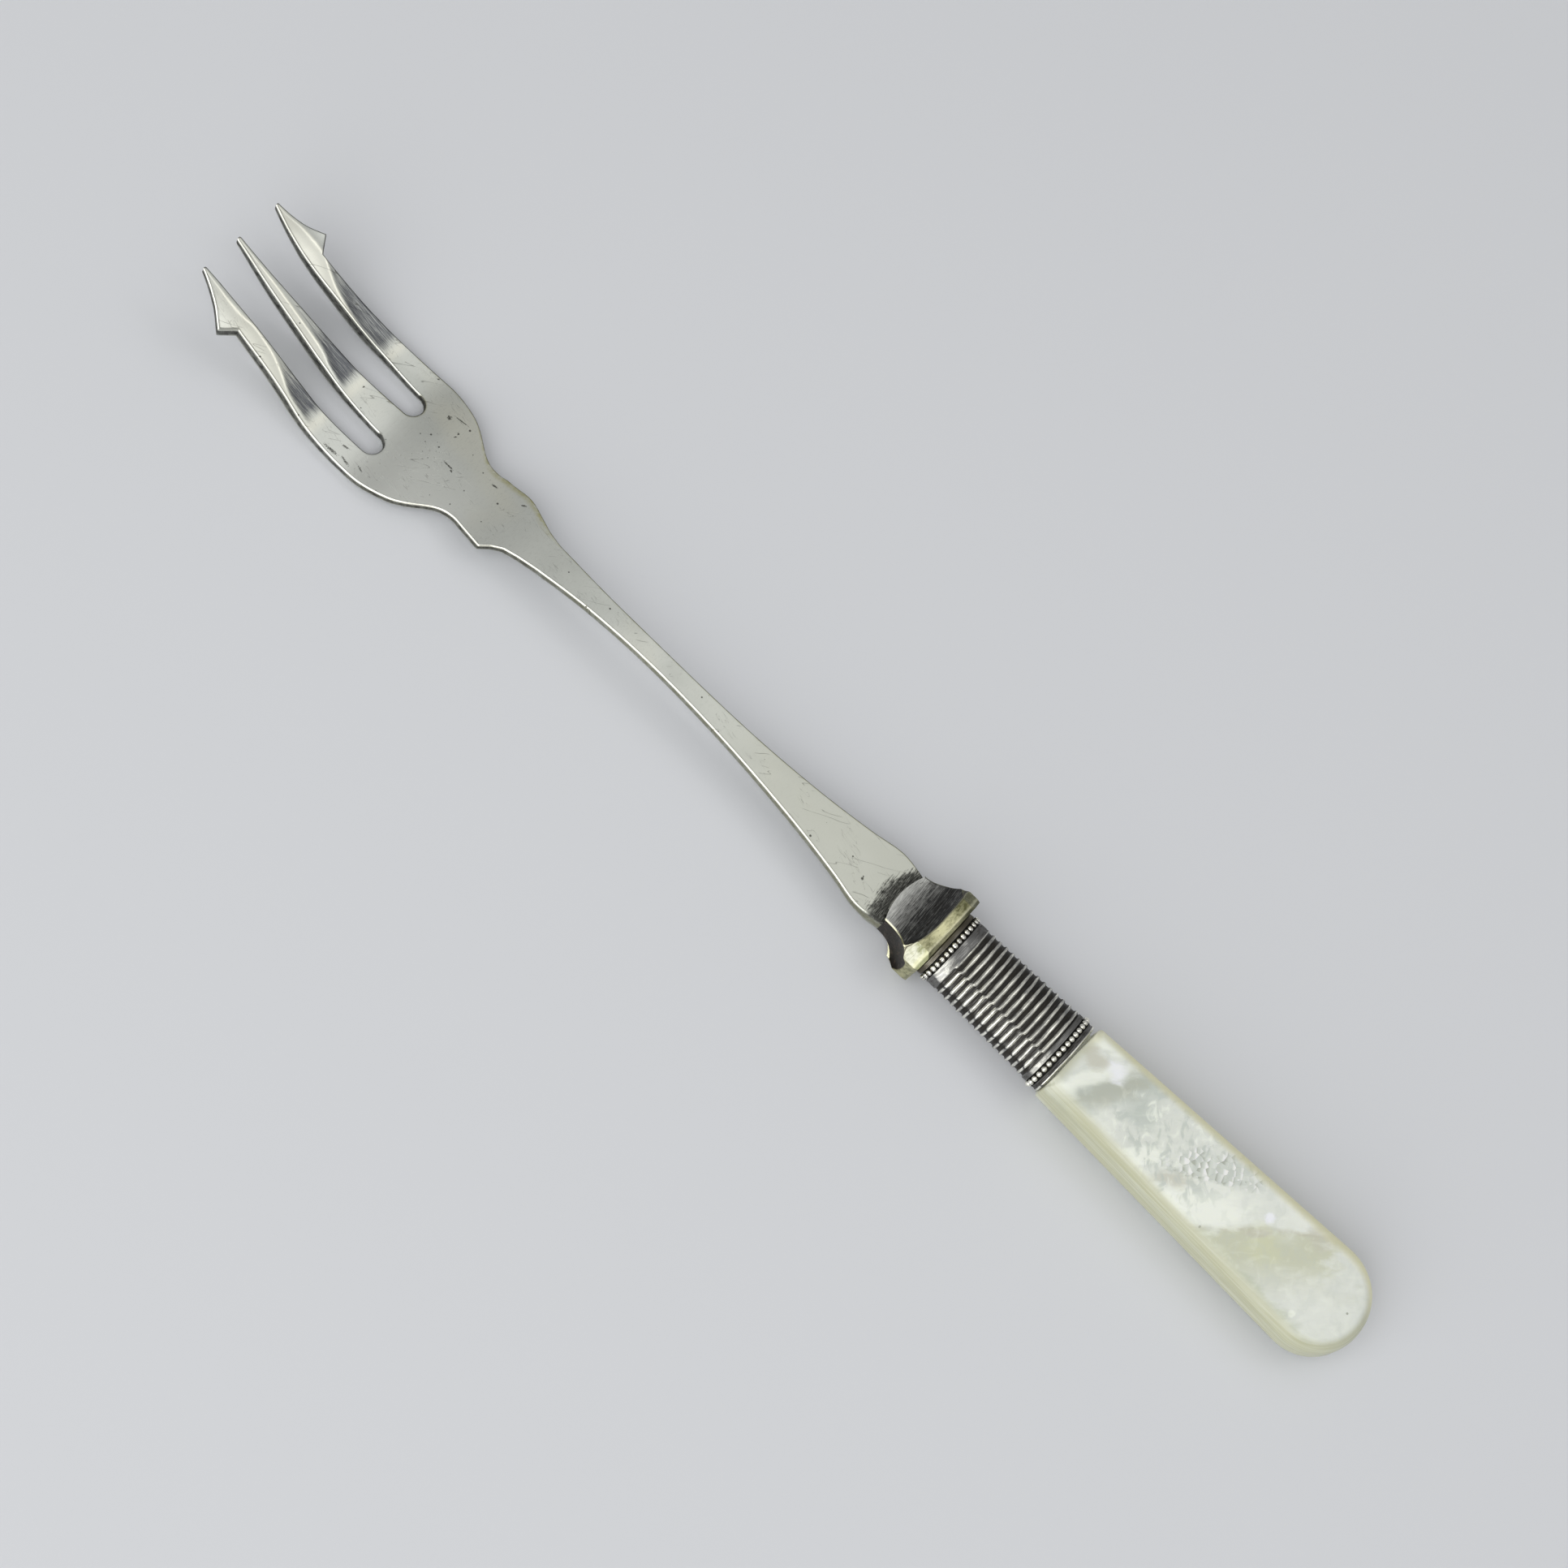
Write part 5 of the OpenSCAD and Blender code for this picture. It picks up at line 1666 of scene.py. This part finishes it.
        # Painted shade: the ribs on the right side are darkened.
        groove = np.maximum(groove, 0.34 * (1 - ease(share, 0.05, 0.2)) * in_ribs)
        groove = np.maximum(groove, 0.8 * ease(d, 0.15, 0.35) * (1 - ease(d, 0.75, 0.85)))
        band = (1 - in_ribs) * (1 - seats) * ease(d, 0.5, 1.0)
        outer = front_seat + self.bead_band
        return height, {
            # The front ring beside the bolster gets painted shadow with dirt.
            "groove": np.maximum(groove, 0.3 * ease(d, outer - 0.05, outer + 0.1) + 0 * share),
            "band": 0.8 * band,
            "earth": 0.75 * ease(d, outer - 0.1, outer + 0.15) + 0 * share,
        }

    def build(self) -> Skin:
        """Builds the tube, outside and bore, closed at both ends."""
        skin = Skin(("groove", "band", "earth"))
        d = np.unique(np.round(np.concatenate([
            np.linspace(0.0, 2.32, 44), np.linspace(2.32, 16.32, 14 * 14 + 1),
            np.linspace(16.32, PLACES.ferrule_length, 50),
        ]), 5))[:, None]
        share = np.arange(176)[None] / 176
        height, marks = self.growth(d, share)
        wall = Oval(*self.half_sizes(d[:, 0]), np.full(len(d), self.end_r))
        x, z = wall.points(share)
        away_x, away_z = wall.grown(1.0).points(share)
        size = np.hypot(away_x - x, away_z - z)
        x, z = x + (away_x - x) / size * height, z + (away_z - z) / size * height
        y = PLACES.ferrule_rear + d + 0 * x
        skin.patch(x, y, z, around=True, **marks)
        bore_x, bore_z = Oval(*(np.full(2, size) for size in self.bore)).points(share)
        ends = np.array([[PLACES.ferrule_rear], [PLACES.ferrule_rear + PLACES.ferrule_length]])
        skin.patch(bore_x, ends, bore_z, around=True, groove=1.0)
        for row, end in ((0, 0), (-1, 1)):
            skin.patch(np.stack([x[row], bore_x[end]]), ends[end], np.stack([z[row], bore_z[end]]),
                       around=True, groove=0.8)
        return skin


@dataclass
class BeadWire:
    """Ring of small balls on a core wire, soldered round the ferrule."""

    ferrule: Ferrule
    from_y: float
    count: int
    seed: int
    worn: float
    core_r: float = 0.16

    def build(self) -> Skin:
        """Builds the core as a bent tube, and each bead as a closed ball, flattened where worn."""
        skin = Skin(("groove", "band", "earth"))
        ferrule = self.ferrule
        middle = self.from_y + ferrule.bead_band / 2
        grow = ferrule.bead_proud - ferrule.bead_d / 2
        wall = Oval(*ferrule.half_sizes(np.array([middle])), np.array([ferrule.end_r]))
        share = np.arange(132)[None] / 132
        turn = np.linspace(0.0, 2 * np.pi, 9)[:-1][:, None]
        inner, outer = wall.grown(grow), wall.grown(grow + 1.0)
        (cx, cz), (ox, oz) = inner.points(share), outer.points(share)
        size = np.hypot(ox - cx, oz - cz)
        nx, nz = (ox - cx) / size, (oz - cz) / size
        rings = np.vstack([turn, turn[:1]])
        ring_x = cx + nx * self.core_r * np.cos(rings)
        ring_z = cz + nz * self.core_r * np.cos(rings)
        ring_y = PLACES.ferrule_rear + middle + self.core_r * np.sin(rings) + 0 * ring_x
        # The core between the beads is darkened: patina with painted shade.
        skin.patch(ring_x, ring_y, ring_z, around=True, groove=1.0)
        rng = np.random.default_rng(self.seed)
        places = (np.arange(self.count) + rng.normal(0, 0.05 * self.worn, self.count)) / self.count % 1
        (bx, bz), (qx, qz) = inner.points(places[None]), outer.points(places[None])
        lat, lon = np.linspace(0, np.pi, 8)[:, None], np.arange(12)[None] * np.pi / 6
        ball = (np.sin(lat) * np.cos(lon), np.sin(lat) * np.sin(lon), np.cos(lat) * np.ones_like(lon))
        for k in range(self.count):
            out = np.array([qx[0, k] - bx[0, k], qz[0, k] - bz[0, k]])
            out /= np.hypot(*out)
            radius = ferrule.bead_d / 2 * (1 - self.worn * rng.uniform(0.0, 0.2))
            proud = radius * (1 - self.worn * rng.uniform(0.05, 0.3)) 
            notch = 1 - 0.35 * self.worn * np.exp(-((ball[1] / 0.22) ** 2)) * (ball[2] > 0)
            side = ball[0] * radius * (1 + 0.12 * self.worn * rng.uniform(-1, 1))
            lift = ball[2] * proud * notch
            # The lower half of each bead, towards the wall, is darkened: patina with painted shade.
            skin.patch(
                bx[0, k] + out[0] * lift - out[1] * side,
                PLACES.ferrule_rear + middle + ball[1] * radius * (1 + 0.15 * self.worn),
                bz[0, k] + out[1] * lift + out[0] * side,
                around=True, groove=0.8 * (1 - ease(ball[2], -0.1, 0.35)),
            )
        return skin


@dataclass
class PearlHandle:
    """Slab of shell with a round end and rounded long edges, and its neck inside the ferrule."""

    width: float = 13.8
    front_width: float = 10.1
    thickness: float = 5.0
    front_thickness: float = 6.3
    edge_r: float = 1.8
    front_r: float = 0.3
    plan_r: float = 0.35
    squareness: float = 0.8
    lean: float = 0.2
    neck: tuple[float, float, float] = (4.15, 2.3, 1.75)

    def side(self, which: Side, y: Array) -> Array:
        """One long side seen from above: a squared arc, a straight line and a small corner.

        The arc is centre + r (cos a, sin a), with its centre pushed out by the tangent of
        2.5 cos a, so that it sits between two circles beside each other. The line starts where
        the arc runs its way.

        Args:
            which: the side.
            y: places along, from 0 at the round end.

        Returns:
            Places across.
        """
        r, front, sign = (self.width - self.squareness) / 2, self.front_width / 2, which.value
        turn = np.linspace(-np.pi / 2, math.radians(3.1), 400)
        arc_x = sign * self.lean + self.squareness / 2 * np.tanh(2.5 * np.cos(turn)) + r * np.cos(turn)
        end = PLACES.pearl_front
        x = np.interp(y, np.append(r + r * np.sin(turn), end), np.append(arc_x, front))
        near = np.clip(y - (end - self.plan_r), 0.0, self.plan_r)
        return sign * (x - self.plan_r + np.sqrt(np.maximum(self.plan_r**2 - near**2, 0.0)))

    def half_thickness(self, y: Array) -> Array:
        """Half thickness, which grows evenly towards the ferrule."""
        return (self.thickness + (self.front_thickness - self.thickness) * y / PLACES.pearl_front) / 2

    def build(self) -> Skin:
        """Builds the slab as a top and an underside with rounded edges, and the neck as a tube.

        Each face is the half thickness less the drop of a rounded edge, which is wide along the
        sides and round the end, and narrow along the nearly straight front.
        """
        skin = Skin(("edge",))
        end = PLACES.pearl_front
        round_end = (self.width - self.squareness) / 2
        rows = np.unique(np.round(np.concatenate([
            round_end * (1 - np.cos(np.linspace(0, np.pi / 2, 60))),
            np.arange(round_end, end - 0.8, 0.4),
            end - self.plan_r * (1 - np.cos(np.linspace(0, np.pi / 2, 9))), end - np.linspace(0.8, 0.35, 5),
        ]), 5))
        turn = np.linspace(0.0, np.pi / 2, 16)
        rings = np.append(self.edge_r * (1 - np.cos(turn)), self.edge_r + np.array([0.1, 0.3]))
        low, high = self.side(Side.LEFT, rows), self.side(Side.RIGHT, rows)
        x = strip(low, high, rings, 26)
        y = np.repeat(rows[:, None], x.shape[1], 1)
        gap = gap_to_lines(x, y, [np.stack([low, rows], -1), np.stack([high, rows], -1)])
        front_gap = end - y
        drop = np.maximum(rounding(gap, self.edge_r), rounding(front_gap, self.front_r))
        z = self.half_thickness(y) - drop
        skew = 0.16 - 0.036 * (x + 0.6) - 0.006 * x**2
        y = y + skew * ease(y, end - 12.0, end)
        edge = self.edge_mark(x, y, np.minimum(gap, front_gap + 0.25))
        for sign in (1, -1):
            skin.patch(x, y, sign * z, edge=edge)
        wall = np.linspace(1, -1, 5)[:, None]
        for column in (0, -1):
            skin.patch(x[:, column], y[:, column], wall * z[:, column], edge=1.0)
        skin.patch(x[-1], y[-1], wall * z[-1], edge=0.6)
        self.neck_tube(skin)
        return skin

    def edge_mark(self, x: Array, y: Array, depth: Array) -> Array:
        """Yellow edge: wide on the left side and round the end, narrow on the right."""
        left = 1 - ease(x / 6.5, -0.9, 0.7)
        end = 1 - ease(y, 1.5, 6.0)
        wide = 1.1 + 0.2 * left + 0.6 * ease(x, 1.0, 6.0) * (1 - end)
        front = 1 - ease(y, PLACES.pearl_front - 5.0, PLACES.pearl_front)
        return (1 - ease(depth, 0.3 * wide, 1.3 * wide)) * (0.7 + 0.3 * front)

    def neck_tube(self, skin: Skin) -> None:
        """Adds the slim neck, with the slot for the tang through it."""
        share = np.arange(64)[None] / 64
        x, z = Oval(*(np.full(2, size) for size in self.neck)).points(share)
        half_w, half_t = PLACES.tang_width / 2 + 0.3, PLACES.tang_thickness / 2 + 0.3
        middle = PLACES.tang_top - PLACES.tang_thickness / 2
        reach = np.minimum(half_w / np.maximum(np.abs(x), 1e-9), half_t / np.maximum(np.abs(z - middle), 1e-9))
        slot_x, slot_z = x * reach, middle + (z - middle) * reach
        start, end = PLACES.pearl_front - 1.0, PLACES.bolster_rear - PLACES.joint_gap
        places = np.array([start, end, end, start, start])[:, None]
        skin.patch(
            np.stack([x[0], x[0], slot_x[0], slot_x[0], x[0]]), places,
            np.stack([z[0], z[0], slot_z[0], slot_z[0], z[0]]), around=True, edge=0.5,
        )


@dataclass
class HiddenFittings:
    """Cement round the tang and the two pins, whose solids stay as they are."""

    cement: PlainFinish = PlainFinish("cement", (0.30, 0.21, 0.13), (0.42, 0.32, 0.20), 0.8, 0.0)
    brass: PlainFinish = PlainFinish("pin_brass", (0.60, 0.50, 0.26), (0.42, 0.34, 0.18), 0.4, 1.0)

    def dress(self, nodes: dict[str, bpy.types.Object]) -> None:
        """Gives the two kept solids their materials.

        Args:
            nodes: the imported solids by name.
        """
        for name, finish in (("tang_cement", self.cement), ("tang_pins", self.brass)):
            solid = nodes[name]
            solid.data.materials.clear()
            solid.data.materials.append(finish.make())
            log.info("%s: kept solid in %s", name, finish.name)


@dataclass
class Studio:
    """Pale floor, soft lamps and the camera at the photograph's angle. Lengths in millimetres."""

    place: tuple[float, float, float] = (-187.25, -0.68, 424.51)
    aim: tuple[float, float, float] = (2.129, 1.708, 0.0)
    roll_deg: float = 43.258
    focal_px: float = 5000.0
    image_px: float = 1932.0
    sensor: float = 36.0
    floor_size: float = 6000.0
    floor_tint: tuple[float, float, float] = (0.72, 0.735, 0.76)
    world_level: float = 0.32

    def camera(self) -> None:
        """Makes the camera: level at first, then rolled about its own view axis."""
        data = bpy.data.cameras.new("camera")
        data.sensor_width = self.sensor
        data.lens = self.focal_px / self.image_px * self.sensor
        data.clip_start, data.clip_end = 0.01, 20.0
        camera = bpy.data.objects.new("camera", data)
        bpy.context.scene.collection.objects.link(camera)
        place, aim = Vector(self.place) * MM, Vector(self.aim) * MM
        ahead = (aim - place).normalized()
        level = ahead.cross(Vector((0, 0, 1))).normalized()
        right = Matrix.Rotation(math.radians(-self.roll_deg), 3, ahead) @ level
        up = right.cross(ahead)
        turn = Matrix((right, up, -ahead)).transposed()
        camera.matrix_world = Matrix.Translation(place) @ turn.to_4x4()
        bpy.context.scene.camera = camera

    def floor(self) -> None:
        """Makes the floor that the fork lies on."""
        half = self.floor_size / 2 * MM
        mesh = bpy.data.meshes.new("floor")
        mesh.from_pydata([(-half, -half, 0), (half, -half, 0), (half, half, 0), (-half, half, 0)], [], [(0, 1, 2, 3)])
        floor = bpy.data.objects.new("floor", mesh)
        bpy.context.scene.collection.objects.link(floor)
        floor.location = (0, 0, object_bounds()[0][2])
        material = bpy.data.materials.new("floor")
        material.use_nodes = True
        shader = material.node_tree.nodes["Principled BSDF"]
        shader.inputs["Base Color"].default_value = (*self.floor_tint, 1)
        shader.inputs["Roughness"].default_value = 0.55
        floor.data.materials.append(material)
        floor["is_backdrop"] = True

    def lamp(self, name: str, place: tuple[float, float, float], size: tuple[float, float], level: float) -> None:
        """Makes one soft lamp that faces the fork, with its length along it.

        The power of a lamp that looks as bright as a level is pi times its area times the level.

        Args:
            name: its name.
            place: where it hangs.
            size: its width and length.
            level: how bright it looks, where 1 is white.
        """
        data = bpy.data.lights.new(name, "AREA")
        data.shape = "RECTANGLE"
        data.size, data.size_y = size[0] * MM, size[1] * MM
        data.energy = math.pi * data.size * data.size_y * level
        lamp = bpy.data.objects.new(name, data)
        bpy.context.scene.collection.objects.link(lamp)
        back = Vector(place).normalized()
        across = Vector((0, 1, 0)).cross(back).normalized()
        turn = Matrix((across, back.cross(across), back)).transposed()
        lamp.matrix_world = Matrix.Translation(Vector(place) * MM) @ turn.to_4x4()

    def world(self) -> None:
        """Sets an even grey surrounding."""
        world = bpy.data.worlds.new("studio")
        bpy.context.scene.world = world
        world.use_nodes = True
        nodes = world.node_tree.nodes
        nodes["Background"].inputs["Color"].default_value = (1, 1, 1, 1)
        nodes["Background"].inputs["Strength"].default_value = self.world_level

    def build(self) -> None:
        """Sets up floor, lamps, world and camera."""
        self.world()
        self.floor()
        self.lamp("broad_lamp", (380, -250, 1000), (1100, 1400), 0.48)
        self.lamp("strip_lamp", (430, -400, 820), (170, 420), 1.3)
        self.lamp("key_lamp", (-790, 100, 650), (1400, 1200), 1.8)
        self.camera()
        scene = bpy.context.scene
        scene.view_settings.view_transform = "Standard"


def main() -> None:
    """Builds each sub-assembly in order, dresses it and sets up the studio."""
    logging.basicConfig(level=logging.INFO, format="%(message)s")
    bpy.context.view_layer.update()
    silver, oxidised = SilverPlate().make(), OxidisedSilver()
    make_piece("blade", Blade().build(), silver, "fork_blade")
    make_piece("bolster_block", Bolster().build(), BolsterMetal().make(), "bolster", 35.0)
    ferrule = Ferrule()
    band = oxidised.make("oxidised_silver", 0.85, 0.15)
    shiny, dull = oxidised.make("bead_silver", 0.3, 0.3), oxidised.make("worn_bead_silver", 0.7, 0.9)
    make_piece("reeded_ferrule", ferrule.build(), band, "ferrule", 60.0)
    front_seat = PLACES.ferrule_length - ferrule.front_ring - ferrule.bead_band
    rear_beads = BeadWire(ferrule, ferrule.lip_length, 33, 7, 0.1)
    front_beads = BeadWire(ferrule, front_seat, 33, 8, 1.0)
    make_piece("rear_beads", rear_beads.build(), shiny, "rear_bead_wire")
    make_piece("front_beads", front_beads.build(), dull, "front_bead_wire")
    make_piece("pearl_slab", PearlHandle().build(), MotherOfPearl().make(), "pearl_handle")
    HiddenFittings().dress(frame["nodes"])
    Studio().build()


if __name__ == "__main__":
    main()
